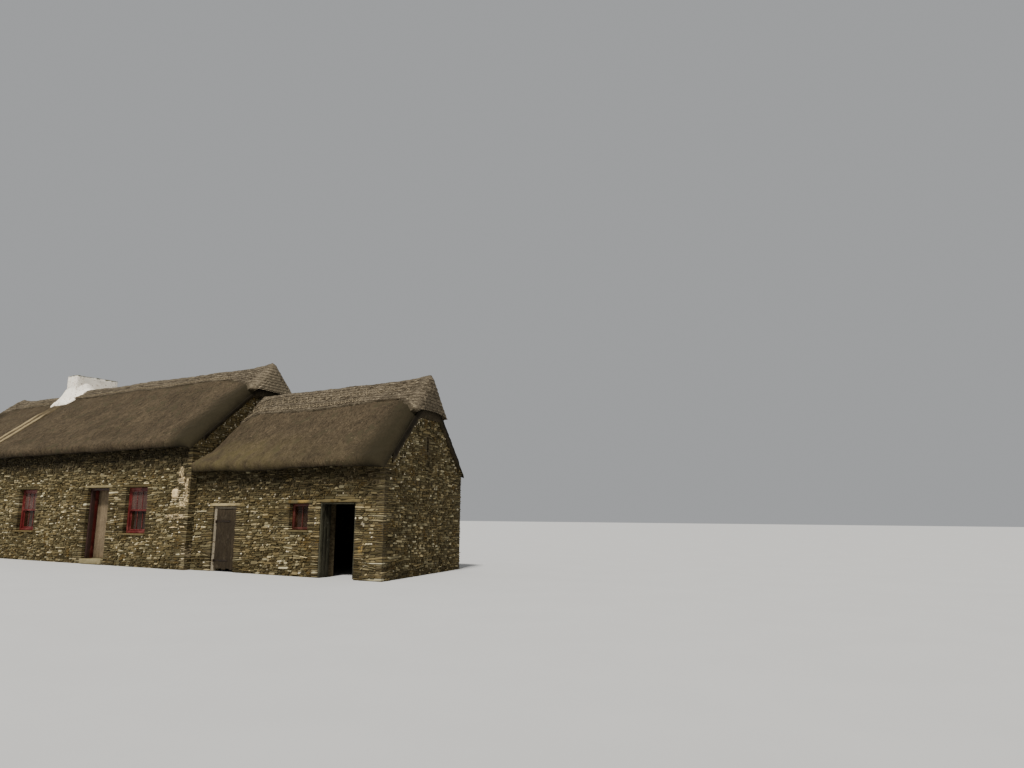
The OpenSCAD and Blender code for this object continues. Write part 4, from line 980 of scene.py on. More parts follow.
# The house door: a deep box frame with a stop, and a ledged leaf of seven tongued boards that
# swings inwards. The frame is crimson, the leaf is painted a light grey that has gone chalky.
def wood_finish(name, run, light, dark, rough, growths, seed_size=0.12, bump=0.003):
    """Weathered wood; run squeezes the grain along the boards, each board has its own tone."""
    finish, tree, shader = new_finish(name, rough)
    where = place_in(tree)
    streaks = streaky(tree, place_in(tree, run), seed_size, light, dark)
    each_board = spread(tree, read_mark(tree, "board"), 0, 1, 0.72, 1.28)
    colour = clouded(tree, mix_tones(tree, 1.0, streaks["Colour"], each_board, "MULTIPLY"), where, 0.4, 0.25)
    for size, tint, cover in growths:
        colour = spotted(tree, colour, where, size, tint, cover)
    wire(tree, colour, shader, "Base Color")
    wire(tree, calc(tree, "MULTIPLY_ADD", streaks["Height"], -0.2, rough + 0.1), shader, "Roughness")
    raise_by(tree, shader, streaks["Height"], bump, 0.8)
    return finish


grey_boards = wood_finish("grey_boards", (8, 8, 0.8), (0.215, 0.163, 0.102), (0.105, 0.079, 0.048), 0.6,
                          [(0.08, (0.12, 0.09, 0.055), 0.20), (0.35, (0.19, 0.145, 0.09), 0.30)], bump=0.0015)
door_head, door_stick = 2.16, (0.004, 0.001, 0.15)
box_and_stop = ((0.065, 0.10, 0.311), (0.047, 0.311, 0.365))
sticks = []
for side in (-1, 1):
    for reach, y0, y1 in box_and_stop:
        x0, x1 = sorted((side * door_half, side * (door_half - reach)))
        sticks.append(worn_block((x0, y0, step_high), (x1, y1, door_head), *door_stick, 110 + side))
for reach, y0, y1 in box_and_stop:
    sticks.append(worn_block((-door_half + reach, y0, door_head - reach), (door_half - reach, y1, door_head),
                             *door_stick, 113))
set_blocks("house_door_box", sticks, paint_finish, ["house_door_frame"])


def boarded_leaf(name, x0, widths, y0, z0, z1, ragged, finish, body, node, seed):
    """Upright boards side by side with two ledges across their back."""
    dice = np.random.RandomState(seed)
    blocks, x, high = [], x0, z1 - z0
    board_thick, joint, ledge_half, ledge_thick = 0.023, 0.0012, 0.065, 0.045
    for i, wide in enumerate(widths):
        foot = z0 + dice.uniform(0, ragged)
        points, quads = worn_block((x + joint, y0 + dice.uniform(0, 0.0015), foot),
                                   (x + wide - joint, y0 + board_thick, z1 - dice.uniform(0, ragged / 4)),
                                   0.003, 0.0008, 0.16, seed + i)
        if ragged:
            low = points[:, 2] < foot + 0.01
            slanting = dice.uniform(0, 0.02) * (points[low, 0] - x) / wide
            points[low, 2] += slanting + dice.uniform(0, 0.006, low.sum())
        blocks.append((points, quads))
        x += wide
    for z in (z0 + 0.16 * high, z0 + 0.8 * high):
        blocks.append(worn_block((x0 + 0.06, y0 + board_thick + 0.0005, z - ledge_half),
                                 (x - 0.06, y0 + ledge_thick, z + ledge_half), 0.004, 0.001, 0.2, seed + 30))
    return set_blocks(name, blocks, finish, [node], {"board": dice.rand(len(blocks))}, body)


boarded_leaf("house_door_boards", x0=-0.459, widths=[0.918 / 7] * 7, y0=0.320, z0=0.159, z1=2.104, ragged=0.0,
             finish=grey_boards, body="house_door", node="house_door_leaf", seed=120)


# The byre door: a bare pale hanging post and head, and a weathered leaf of five unequal planks
# with a rotten foot, that opens outwards on strap hinges.
pale_wood = wood_finish("pale_wood", (7, 7, 0.8), (0.25, 0.215, 0.155), (0.115, 0.097, 0.068), 0.8,
                        [(0.10, (0.08, 0.06, 0.035), 0.35)])
dark_boards = wood_finish("dark_boards", (9, 9, 0.7), (0.040, 0.030, 0.018), (0.014, 0.010, 0.0055), 0.82,
                          [(0.16, (0.055, 0.043, 0.028), 0.30), (0.05, (0.018, 0.015, 0.013), 0.25)])
post_x0, post_x1, post_y0, post_y1, byre_head = 4.8225, 4.9225, 0.255, 0.355, 1.635
sticks = [worn_block((post_x0, post_y0, 0), (post_x1, post_y1, byre_head), 0.008, 0.004, 0.10, 130),
          worn_block((post_x1, post_y0, 1.570), (5.6775, post_y1, byre_head), 0.006, 0.003, 0.10, 131)]
set_blocks("byre_door_post", sticks, pale_wood, ["byre_door_frame"], {"board": [0.8, 0.3]})
boarded_leaf("byre_door_boards", x0=4.9315, widths=[0.160, 0.133, 0.158, 0.139, 0.147],
             y0=post_y0, z0=0.030, z1=1.561, ragged=0.045, finish=dark_boards,
             body="byre_door", node="byre_door_leaf", seed=140)


# Straps and pintles: both doors hang on long forged straps, clenched to the boards, that turn on
# pintles driven into the jambs. The CAD's own pieces carry the finish, dark iron gone rusty.
iron_finish, tree, shader = new_finish("wrought_iron", 0.6, 0.3)
where = place_in(tree)
shader.inputs["Metallic"].default_value = 0.35
iron = clouded(tree, (0.016, 0.012, 0.008), where, 0.05, 0.4)
rusty = use_effect(tree, growth, {"Colour": iron, "Place": where, "Size": 0.03, "Tint": (0.046, 0.025, 0.014),
                                  "Cover": 0.45})
wire(tree, rusty["Colour"], shader, "Base Color")
wire(tree, calc(tree, "MULTIPLY_ADD", rusty["Mask"], 0.3, 0.5), shader, "Roughness")
raise_by(tree, shader, grain(tree, where, 0.012, 5, 0.6), 0.001, 0.6)
give_finish(iron_finish, "house_door_straps", "byre_door_straps", "hinge_pintles")


# The open doorway's lining: old greenish boards, three upright at each side and two under the
# head, nailed to plugs in the jambs. It has no door.
lining_boards = wood_finish("lining_boards", (9, 9, 0.7), (0.066, 0.062, 0.040), (0.024, 0.022, 0.014), 0.85,
                            [(0.15, (0.085, 0.085, 0.062), 0.28)])
lining_head, lining_back, old_board = 1.718, 0.54, (0.004, 0.003, 0.12)
blocks = []
for x0, y_start in ((8.590, 0.214), (9.610, 0.250)):
    edges = np.linspace(y_start, lining_back, 4)
    for i in range(3):
        blocks.append(worn_block((x0 + 0.002, edges[i] + 0.002, 0.0 if i else 0.015),
                                 (x0 + 0.038, edges[i + 1] - 0.002, lining_head), *old_board, 150 + i))
for i, (y0, y1) in enumerate(((0.225, 0.37), (0.374, lining_back))):
    blocks.append(worn_block((8.632, y0, 1.682), (9.608, y1, lining_head), *old_board, 156 + i))
set_blocks("doorway_boards", blocks, lining_boards, ["byre_doorway_lining"],
           {"board": np.random.RandomState(15).rand(len(blocks))})


# Roof timbers: couples of barked round wood with a collar, and two poles along each slope
# under the thatch. They show only through the doorways and from below.
def round_log(start, end, radius, seed, sides=12):
    """A slightly crooked pole from start to end."""
    start, end = np.array(start, float), np.array(end, float)
    run = end - start
    long = np.linalg.norm(run)
    run /= long
    side = np.cross(run, (0, 0, 1.0) if abs(run[2]) < 0.8 else (1.0, 0, 0))
    side /= np.linalg.norm(side)
    other = np.cross(run, side)
    steps = max(2, round(long / 0.22))
    a = np.linspace(0, 2 * math.pi, sides, endpoint=False)
    t = np.linspace(0, 1, steps + 1)[:, None, None]
    ring = (np.cos(a)[:, None] * side + np.sin(a)[:, None] * other)[None]
    points = start + run * long * t + ring * radius * 0.94
    points += ring * (0.05 * radius * ripple(points.reshape(-1, 3), 0.5, seed).reshape(steps + 1, sides, 1))
    quads, lid = band_faces(steps + 1, sides)[:, [0, 3, 2, 1]], lid_faces(sides)
    return points.reshape(-1, 3), np.concatenate([quads, lid[:, ::-1], lid + steps * sides])


def under_of(roof, s):
    """Height of the thatch's underside at the distance s from the ridge."""
    return roof["wall"] + (roof["half"] - abs(s)) * math.tan(roof["slope"])


round_wood = wood_finish("round_wood", (2, 2, 2), (0.26, 0.19, 0.12), (0.12, 0.085, 0.055), 0.85,
                         [(0.2, (0.10, 0.09, 0.07), 0.35)], seed_size=0.06)
pole_thick, rafter_thick, collar_thick, bedding = 0.09, 0.13, 0.11, 0.0002
for name, roof, wall_in, places in (
        ("room_couples", ROOM, wall_thick, [-8.365]),
        ("house_couples", HOUSE, wall_thick, [-6.08 + 8.936 * i / 5 for i in range(1, 5)]),
        ("byre_couples", BYRE, byre_wall_thick, [4.10 + 4.956 * i / 4 for i in range(1, 4)])):
    drop = (pole_thick + 2 * bedding + 0.075) / math.cos(roof["slope"])
    reach = roof["half"] - wall_in - 0.03
    foot_z, peak_z = under_of(roof, reach) - drop, under_of(roof, 0.03) - drop
    collar_s = 0.45 * roof["half"]
    collar_z = under_of(roof, collar_s) - drop
    logs = []
    for i, x in enumerate(places):
        for side in (-1, 1):
            logs.append(round_log((x, roof["mid"] + side * reach, foot_z),
                                  (x, roof["mid"] + side * 0.03, peak_z), rafter_thick / 2, 160 + i + side))
        logs.append(round_log((x, roof["mid"] - collar_s, collar_z), (x, roof["mid"] + collar_s, collar_z),
                              collar_thick / 2, 170 + i))
    set_blocks(name + "_logs", logs, round_wood, [name],
               {"board": np.random.RandomState(16).rand(len(logs))}, crisp=60)

logs, pole_in = [], 0.0455
for roof, x0, x1, end_west in ((ROOM, -10.01, -6.72, 0), (HOUSE, -6.08, 3.496, 0),
                               (BYRE, 4.10, 9.939, HOUSE["lean"])):
    for side in (-1, 1):
        for share in (0.62, 0.30):
            s = side * share * roof["half"]
            y = roof["mid"] + s - side * math.sin(roof["slope"]) * pole_in
            z = under_of(roof, s) - math.cos(roof["slope"]) * pole_in
            x_end = x1 - 0.04 - roof["lean"] * (y - roof["corner_y"])
            logs.append(round_log((x0 + 0.04 - end_west * y, y, z), (x_end, y, z),
                                  pole_thick / 2, 180 + len(logs)))
set_blocks("roof_pole_logs", logs, round_wood, ["roof_poles"],
           {"board": np.random.RandomState(17).rand(len(logs))}, crisp=60)


# The thatch: a thick coat laid slope by slope over sods, round at the eaves, that thins and rolls
# down to the gables at its ends. The old surface is dark, felted and a little uneven.
thatch_deep, verge_out, verge_roll = 0.28, 0.025, 0.52


def top_of(roof, s, k=1.0):
    """Height of the thatch's top at the distance s from the ridge, for the share k of its depth."""
    return roof["wall"] + (roof["half"] - np.sqrt(s * s + 0.01)) * math.tan(roof["slope"]) \
        + k * thatch_deep / math.cos(roof["slope"])


def roll_length(roof, s):
    """How far before its edge the thatch starts to roll down."""
    return roof["crown"] + (verge_roll - roof["crown"]) * np.minimum(1, np.abs(s) / roof["half"])


def outline_across(roof, k, cells):
    """One closed outline over a roof: round the front eave, over the ridge, and back under.
    Gives distance from the ridge, height, and the outward direction at each point."""
    cos_p, sin_p = math.cos(roof["slope"]), math.sin(roof["slope"])
    a = np.radians([-90, -80, -60, -20, 0, 15, 35, 55, 75, 90])
    u = np.array([-0.010, -0.085, -0.150, -0.160, -0.157, -0.148, -0.130, -0.100, -0.060, -0.010])
    v = k * np.array([0, 0.030, 0.068, 0.080, 0.115, 0.160, 0.205, 0.243, 0.268, thatch_deep])
    nose_s, nose_z = roof["half"] - u * cos_p + v * sin_p, roof["wall"] + u * sin_p + v * cos_p
    nose_ds, nose_dz = np.cos(a) * cos_p + np.sin(a) * sin_p, -np.cos(a) * sin_p + np.sin(a) * cos_p
    slope_s = nose_s[-1] * (1 - np.arange(1, cells + 1) / cells)
    half_s = np.concatenate([nose_s, slope_s])
    half_z = np.concatenate([nose_z, top_of(roof, slope_s, k)])
    half_ds = np.concatenate([nose_ds, np.full(cells, sin_p)])
    half_dz = np.concatenate([nose_dz, np.full(cells, cos_p)])
    half_ds[-1], half_dz[-1] = 0, 1
    under = np.array([0.99, 0.8, 0.5, 0.2]) * roof["half"]
    under = np.concatenate([under, [0], -under[::-1]])
    s = np.concatenate([-half_s, half_s[-2::-1], under])
    z = np.concatenate([half_z, half_z[-2::-1], [under_of(roof, x) + bedding for x in under]])
    ds = np.concatenate([-half_ds, half_ds[-2::-1], np.zeros(len(under))])
    dz = np.concatenate([half_dz, half_dz[-2::-1], np.zeros(len(under))])
    return s, z, ds, dz


def closed_tube(rows, facing=1):
    """Skins rows of equal closed outlines, shape rows x points x 3, and closes both ends."""
    n, m = rows.shape[:2]
    ends = np.stack([np.arange(m), (n - 1) * m + np.arange(m)[::-1]])
    return rows.reshape(-1, 3), band_faces(n, m)[:, ::facing], ends[:, ::facing]


def sway(points):
    """The slow unevenness of the roofs, in metres, shared by the thatch and what lies on it."""
    return 0.018 * ripple(points, 2.6, 301) + 0.009 * ripple(points, 0.9, 302)


def sag(roof, away, s):
    """How far the byre's front slope has sunk where it meets the taller gable."""
    if roof is not BYRE:
        return 0 * s
    return 0.23 * np.exp(-(away / 0.45) ** 2) * np.clip(-s / 0.35, 0, 1) \
        * np.clip((roof["half"] + 0.2 + s) / 0.5, 0, 1)


def verge_line(roof, s):
    """The edge of the thatch past a gable, which falls back from the corner."""
    return roof["corner_x"] + roof["facing"] * verge_out - roof["lean"] * (roof["mid"] + s - roof["corner_y"])


def thatch_coat(name, roof, cells, long_cells, node):
    """A coat from the roof's plain end to its gable, with its last rows rolled down."""
    facing, rows, marks, below = roof["facing"], [], [], []
    steps = [(f, 0.0) for f in np.linspace(0, 1, long_cells)]
    steps += [(1.0, math.radians(a)) for a in (12, 24, 36, 47, 57, 66, 74, 81, 88)]
    for f, a in steps:
        k = math.cos(a)
        s, z, ds, dz = outline_across(roof, k, cells)
        start, edge = roof["plain_x"] - roof["plain_lean"] * (roof["mid"] + s), verge_line(roof, s)
        roll = facing * roll_length(roof, s)
        x = start + f * (edge - roll - start) if a == 0 else edge - roll * (1 - math.sin(a))
        row = np.stack([x, roof["mid"] + s, z], 1)
        rough = sway(row) + 0.0065 * ripple(row, 0.30, 303) \
            + 0.0045 * ripple(row * np.array([1, 0.5, 0.5]), 0.11, 304)
        rough -= sag(roof, row[:, 0] - start, s) * math.cos(roof["slope"])
        row[:, 1] += ds * rough * k
        row[:, 2] += dz * rough * k
        row[:, 0] += facing * math.sin(a) * 0.5 * rough * (ds != 0)
        rows.append(row)
        # The verge mark paints the thatch darker into the rolled verge and a little before it: painted shade
        # where the roll turns away from the light, with some moss.
        before_roll = 0.6 * np.clip(1 - (1 - f) * np.abs(edge - roll - start) / 0.70, 0, 1)
        marks.append(np.where(a > 0, 0.6 + 0.4 * math.sin(a), before_roll))
        # Painted shade: darker where the outline faces down, under the eaves.
        below.append(np.clip((-dz - 0.55) / 0.35, 0, 1))
    points, quads, ends = closed_tube(np.array(rows), facing)
    piece = make_piece(name, points, [quads, ends], [thatch_finish], marks={
        "verge": np.concatenate(marks), "below": np.concatenate(below),
        "from_ridge": np.abs(points[:, 1] - roof["mid"]) / roof["half"]}, crisp=60)
    return fit(piece, "masonry", [node])


thatch_finish, tree, shader = new_finish("old_thatch", 0.95)
where = place_in(tree)
verge, down, below = (read_mark(tree, mark) for mark in ("verge", "from_ridge", "below"))
felt = streaky(tree, place_in(tree, (1.0, 0.5, 0.5)), 0.05, (0.092, 0.069, 0.041), (0.020, 0.0145, 0.008))
shade = clouded(tree, felt["Colour"], where, 0.9, 0.22)
shade = clouded(tree, shade, place_in(tree, (1, 0.4, 0.4)), 0.16, 0.20)
shade = spotted(tree, shade, where, 0.35, (0.048, 0.040, 0.022), 0.36)
shade = spotted(tree, shade, where, 0.07, (0.150, 0.115, 0.070), 0.26)
along = add_node(tree, "SeparateXYZ", {0: where}).outputs[0]
mossy = calc(tree, "MULTIPLY", spread(tree, down, 0.62, 1.05), spread(tree, along, 3.0, 5.0))
mossy = calc(tree, "MULTIPLY", mossy, spread(tree, along, 8.5, 5.5, 0.15, 0.75))
mossy = calc(tree, "MULTIPLY", mossy, spread(tree, grain(tree, where, 0.45, 6, 0.6), 0.25, 0.72))
shade = mix_tones(tree, mossy, shade, (0.090, 0.073, 0.030))
# Painted shade and moss: the rolled verges and the packing are darkened by the verge mark.
rolled = calc(tree, "MULTIPLY", spread(tree, verge, 0.0, 0.75), 0.90)
shade = mix_tones(tree, rolled, shade, (0.019, 0.0155, 0.0075))
# Painted shade: darker where the thatch faces down and, on the packing, up under the hood's rim.
shade = mix_tones(tree, calc(tree, "MULTIPLY", below, 0.85), shade, (0.008, 0.006, 0.003))
wire(tree, shade, shader, "Base Color")
wire(tree, calc(tree, "MULTIPLY_ADD", felt["Height"], -0.12, 0.98), shader, "Roughness")
clumps = grain(tree, place_in(tree, (1, 0.45, 0.45)), 0.12, 5, 0.6)
raise_by(tree, shader, calc(tree, "MULTIPLY_ADD", felt["Height"], 0.6, clumps), 0.014, 0.8)

thatch_coat("room_thatch_coat", ROOM, cells=62, long_cells=60, node="room_thatch")
thatch_coat("house_thatch_coat", HOUSE, cells=62, long_cells=165, node="house_thatch")
thatch_coat("byre_thatch_coat", BYRE, cells=54, long_cells=115, node="byre_thatch")


# Where the two taller roofs meet over the hearth wall, the joint is dressed as two fat rolls of
# newer, paler straw with a hollow between them.
joint_finish, tree, shader = new_finish("joint_straw", 0.9)
where = place_in(tree)
straw = streaky(tree, place_in(tree, (3.0, 0.5, 0.5)), 0.05, (0.125, 0.094, 0.052), (0.030, 0.023, 0.012))
shade = clouded(tree, straw["Colour"], where, 0.4, 0.3)
stalks = calc(tree, "MULTIPLY", grain(tree, place_in(tree, (3.0, 0.35, 0.35)), 0.16, 5, 0.6), 0.9)
fresh = spread(tree, calc(tree, "ADD", read_mark(tree, "fresh"), stalks), 0.60, 1.05)
shade = mix_tones(tree, calc(tree, "MULTIPLY", fresh, 0.85), shade, (0.30, 0.235, 0.130))
wire(tree, shade, shader, "Base Color")
raise_by(tree, shader, straw["Height"], 0.012, 0.9)
joint_wide, roll_half = 0.64, 0.17
rows, crests = [], []
for share in np.linspace(0, 1, 33):
    from_roll = min(abs(share - 0.16), abs(share - 0.84))
    crest = math.sqrt(max(0.0, 1 - (from_roll / roll_half) ** 2))
    s, z, ds, dz = outline_across(HOUSE, 1.0, 60)
    lift = 0.060 * crest * np.clip((np.abs(s) - 0.80) / 0.6, 0.15, 1)
    row = np.stack([np.full(len(s), hearth_x0 + joint_wide * share), HOUSE["mid"] + s, z], 1)
    rough = sway(row) * 0.6 + np.maximum(0.008, lift) + 0.005 * ripple(row, 0.16, 311)
    row[:, 1] += ds * rough
    row[:, 2] += dz * rough
    rows.append(row)
    crests.append(max(0.0, crest - 0.25) * np.clip((np.abs(s) - 0.95) / 0.6, 0, 1))
points, quads, ends = closed_tube(np.array(rows))
fit(make_piece("joint_rolls", points, [quads, ends], [joint_finish],
               marks={"fresh": np.concatenate(crests)}, crisp=60), "masonry", ["roof_joint"])


# The chimney: a broad plain stack of rendered stone on the hearth wall, limewashed again and
# again, with a lime skirt swept out over the thatch round its foot.
lime_finish, tree, shader = new_finish("limewash", 0.85, 0.5)
where = place_in(tree)
wash = clouded(tree, (1.0, 0.935, 0.80), where, 0.5, 0.04)
wash = spotted(tree, wash, where, 0.16, (0.74, 0.63, 0.50), 0.34)
wash = spotted(tree, wash, where, 0.055, (0.30, 0.22, 0.16), 0.35)
patchy = grain(tree, where, 0.09, 5, 0.65)
moss = calc(tree, "ADD", read_mark(tree, "high"), calc(tree, "MULTIPLY", patchy, 1.5))
moss = spread(tree, moss, 1.42, 1.62)
wire(tree, mix_tones(tree, moss, wash, (0.085, 0.080, 0.040)), shader, "Base Color")
raise_by(tree, shader, calc(tree, "ADD", grain(tree, where, 0.12, 6, 0.6), patchy), 0.012, 0.6)
stack_x, stack_y = (hearth_x0, house_x0), (2.41, 4.01)
stack_top, stack_foot = float(top_of(HOUSE, np.array(0.0))) + 0.60, 4.62


def stack_ring(z, in_x=0.0, in_y=0.0, round_off=0.02, across=10, along=26):
    """A closed ring of points round the stack, drawn in at its sides and at its corners."""
    xs = np.linspace(stack_x[0] + in_x, stack_x[1] - in_x, across + 1)
    ys = np.linspace(stack_y[0] + in_y, stack_y[1] - in_y, along + 1)
    ring = [(a, ys[0]) for a in xs[:-1]] + [(xs[-1], b) for b in ys[:-1]] + \
           [(a, ys[-1]) for a in xs[:0:-1]] + [(xs[0], b) for b in ys[:0:-1]]
    ring = np.array(ring)
    middle = np.array([(xs[0] + xs[-1]) / 2, (ys[0] + ys[-1]) / 2])
    for i in (0, across, across + along, 2 * across + along):
        ring[i] += np.sign(middle - ring[i]) * round_off
    return np.column_stack([ring, np.full(len(ring), z)])


rings = [stack_ring(z) for z in np.linspace(stack_foot, stack_top - 0.03, 30)]
rings.append(stack_ring(stack_top, 0.012, 0.012))
for inset, z in ((0.10, stack_top), (0.165, stack_top - 0.004), (0.172, stack_top - 0.05),
                 (0.172, stack_top - 0.70)):
    rings.append(stack_ring(z, inset, inset * 2.33, 0.0))
points, quads, ends = closed_tube(np.array(rings), -1)
points[:, :2] += 0.007 * np.stack([ripple(points, 0.5, 321), ripple(points, 0.35, 322)], 1) \
    + 0.003 * np.stack([ripple(points, 0.12, 323), ripple(points, 0.12, 324)], 1)
worn_top = -0.018 * (0.5 + 0.5 * np.clip(ripple(points, 0.4, 325), -1, 1))
points[:, 2] += np.where(points[:, 2] > stack_top - 0.06, worn_top, 0)
points[:, 2] = np.minimum(points[:, 2], stack_top)
fit(make_piece("chimney", points, [quads, ends], [lime_finish],
               marks={"high": np.clip((points[:, 2] - stack_top + 0.16) / 0.16, 0, 1)}, crisp=50),
    "masonry", ["chimney_stack"])


def skirt_outline():
    """Points round the stack's foot with the way that the skirt spreads from each."""
    out = []
    flank = list(np.linspace(stack_y[0], stack_y[1], 27)[1:-1])
    face = list(np.linspace(stack_x[0], stack_x[1], 11)[1:-1])
    fan = np.radians(np.arange(0, 91, 15))
    out += [(x, stack_y[0], -math.pi / 2) for x in face]
    out += [(stack_x[1], stack_y[0], a - math.pi / 2) for a in fan]
    out += [(stack_x[1], y, 0.0) for y in flank]
    out += [(stack_x[1], stack_y[1], a) for a in fan]
    out += [(x, stack_y[1], math.pi / 2) for x in face[::-1]]
    out += [(stack_x[0], stack_y[1], a + math.pi / 2) for a in fan]
    out += [(stack_x[0], y, math.pi) for y in flank[::-1]]
    out += [(stack_x[0], stack_y[0], a + math.pi) for a in fan]
    return np.array(out)


foot_x, foot_y, way = skirt_outline().T
reaches = 0.246 + 0.17 * np.clip(-np.sin(way), 0, 1) ** 2 + 0.09 * np.clip(np.cos(way), 0, 1) ** 2
ragged = 1 + 0.05 * ripple(np.column_stack([foot_x, foot_y, way]), 0.7, 331)
rows = []
for share, drop in [(0.0, 0.45)] + [(c, 0.0) for c in np.linspace(0, 1, 15)] + [(1.0, 0.12), (0.5, 0.16)]:
    away = 0.004 + reaches * share * ragged
    x, y = foot_x + away * np.cos(way), foot_y + away * np.sin(way)
    z = top_of(HOUSE, y - HOUSE["mid"]) + 0.045 + 0.26 * (1 - share) ** 2 \
        + 0.085 * np.clip(1.35 - np.abs(x - (hearth_x0 + house_x0) / 2) / 0.32, 0, 1)
    row = np.column_stack([x, y, z])
    row[:, 2] += sway(row) * share + (0.010 * ripple(row, 0.25, 332) if drop == 0 else 0) - drop
    rows.append(row)
n, m = len(rows), len(way)
points = np.concatenate(rows)
fit(make_piece("chimney_skirt_lime", points, [band_faces(n + 1, m) % (n * m)], [lime_finish],
               marks={"high": np.zeros(len(points))}, crisp=60), "masonry", ["chimney_skirt"])


# Packing: under each hood a fat lip of thatch is brought round the peak of the gable, and goes
# on down both verges as a thinner one. It is the same old straw, tucked behind the cap.
def hood_packing(name, roof, low_z, tail):
    """A lip along a gable; low_z is its foot at the peak, tail its depth down the verges."""
    rise, count = math.tan(roof["slope"]), 150
    reach = roof["half"] - 0.30
    outs = np.array([-0.02, 0.020, 0.040, 0.052, 0.058, 0.061, 0.061, 0.058, 0.050, -0.02])
    ups = np.array([0.0, 0.0, 0.07, 0.16, 0.28, 0.42, 0.58, 0.76, 1.0, 1.0])
    rows = []
    for s in np.linspace(-reach, reach, count):
        edge_z = roof["wall"] + (roof["half"] - abs(s)) * rise + 0.04
        top, low = min(edge_z, low_z + 0.42), min(low_z, edge_z - tail)
        x = roof["corner_x"] - roof["lean"] * (roof["mid"] + s - roof["corner_y"]) + roof["facing"] * outs
        rows.append(np.stack([x, np.full(len(ups), roof["mid"] + s), low + (top - low) * ups], 1))
    rows = np.array(rows)
    flat = rows.reshape(-1, 3)
    rough = 0.013 * ripple(flat, 0.30, 351) + 0.007 * ripple(flat, 0.08, 352) \
        + 0.004 * ripple(flat, 0.035, 353)
    rough = rough.reshape(count, len(ups))
    rows[:, :, 2] += rough * (ups < 0.5) * 1.8
    rows[:, 1:-1, 0] += roof["facing"] * 0.45 * rough[:, 1:-1]
    points, quads, ends = closed_tube(rows, roof["facing"])
    # Its verge and shade marks paint the packing dark: painted shade under the hood, darkest up under the
    # rim.
    packing = make_piece(name, points, [quads, ends], [thatch_finish], marks={
        "verge": np.full(len(points), 0.42),
        "below": np.tile(np.clip(2.4 * (ups - 0.18), 0, 1), count)}, crisp=60)
    return fit(packing, "masonry", ())


hood_packing("room_packing", ROOM, low_z=4.86, tail=0.14)
hood_packing("house_packing", HOUSE, low_z=4.86, tail=0.14)
hood_packing("byre_packing", BYRE, low_z=3.84, tail=0.26)


# Ridge caps: a saddle of lighter straw along each ridge, pinned with hazel rods. Towards the
# gables it widens and kicks up, wraps the rolled verge and hangs over it as a hollow hood.
cap_thick, cap_rise, hood_lip, hood_stand, hood_drop = 0.05, 0.09, 0.11, 0.15, 0.89
rim_drop, last_roll, rod_apart = 0.065, math.radians(79), 0.080
columns, under_columns, flare_rows = 61, 15, 15

cap_finish, tree, shader = new_finish("ridge_straw", 0.92)
where = place_in(tree)
straw = streaky(tree, place_in(tree, (1.0, 0.8, 0.9)), 0.04, (0.240, 0.202, 0.146), (0.058, 0.048, 0.034))
shade = clouded(tree, straw["Colour"], where, 0.55, 0.30)
stalks = place_in(tree, (0.40, 0.55, 1.25))
shade = spotted(tree, shade, stalks, 0.045, (0.44, 0.375, 0.265), 0.34)
shade = spotted(tree, shade, stalks, 0.075, (0.056, 0.045, 0.029), 0.42)
lines = add_node(tree, "TexWave", {"Vector": where, "Scale": 3.2, "Distortion": 1.6, "Detail": 3.0,
                                   "Detail Scale": 2.5}, bands_direction="Z").outputs[1]
lines = calc(tree, "MULTIPLY", spread(tree, lines, 0.15, 0.6), 0.12)
shade = mix_tones(tree, lines, mix_tones(tree, 1.0, shade, (0.62, 0.60, 0.56), "MULTIPLY"), shade)
pale = spread(tree, add_node(tree, "SeparateXYZ", {0: where}).outputs[0], 5.0, 6.5, 0.60, 0.10)
shade = mix_tones(tree, calc(tree, "MULTIPLY", read_mark(tree, "over"), pale), shade, (0.38, 0.315, 0.215))
# Painted shadow: the cap's side edges are darkened, as the shadow under the cap's lip.
shade = mix_tones(tree, calc(tree, "MULTIPLY", read_mark(tree, "lip"), 0.5), shade, (0.022, 0.016, 0.007))
wire(tree, shade, shader, "Base Color")
tufts = grain(tree, place_in(tree, (0.5, 0.5, 1.0)), 0.06, 5, 0.65)
raise_by(tree, shader, calc(tree, "ADD", straw["Height"], tufts), 0.011, 0.8)


def rod_wood(name, light, dark):
    finish, tree, shader = new_finish(name, 0.7)
    bark = streaky(tree, place_in(tree), 0.05, light, dark)
    wire(tree, bark["Colour"], shader, "Base Color")
    raise_by(tree, shader, bark["Height"], 0.001, 0.6)
    return finish


# The level rods are coloured dark brown: hazel bark, and painted shade for the thin shadow line they throw on
# the cap.
rod_finish = rod_wood("hazel_rods", (0.075, 0.055, 0.032), (0.024, 0.017, 0.010))
spar_finish = rod_wood("split_spars", (0.33, 0.268, 0.172), (0.10, 0.078, 0.048))


def rods_along(paths, radius, sides=5):
    """Thin rods along paths of equal numbers of points, shape rods x points x 3."""
    paths = np.asarray(paths, float)
    rods, count = paths.shape[:2]
    run = np.gradient(paths, axis=1)
    run /= np.linalg.norm(run, axis=2, keepdims=True)
    side = np.cross(run, np.array([0.13, 0.97, 0.21]))
    side /= np.linalg.norm(side, axis=2, keepdims=True)
    other = np.cross(run, side)
    a = np.linspace(0, 2 * math.pi, sides, endpoint=False)
    around = np.cos(a)[:, None] * side[:, :, None] + np.sin(a)[:, None] * other[:, :, None]
    rings = paths[:, :, None] + radius * around
    r, i, k = np.meshgrid(np.arange(rods), np.arange(count - 1), np.arange(sides), indexing="ij")
    base, k2 = (r * count + i) * sides, (k + 1) % sides
    quads = np.stack([base + k, base + k2, base + sides + k2, base + sides + k], -1).reshape(-1, 4)
    first = np.arange(rods)[:, None] * count * sides + np.arange(sides)[::-1]
    last = (np.arange(rods)[:, None] + 1) * count * sides - sides + np.arange(sides)
    return rings.reshape(-1, 3), quads, np.concatenate([first, last])


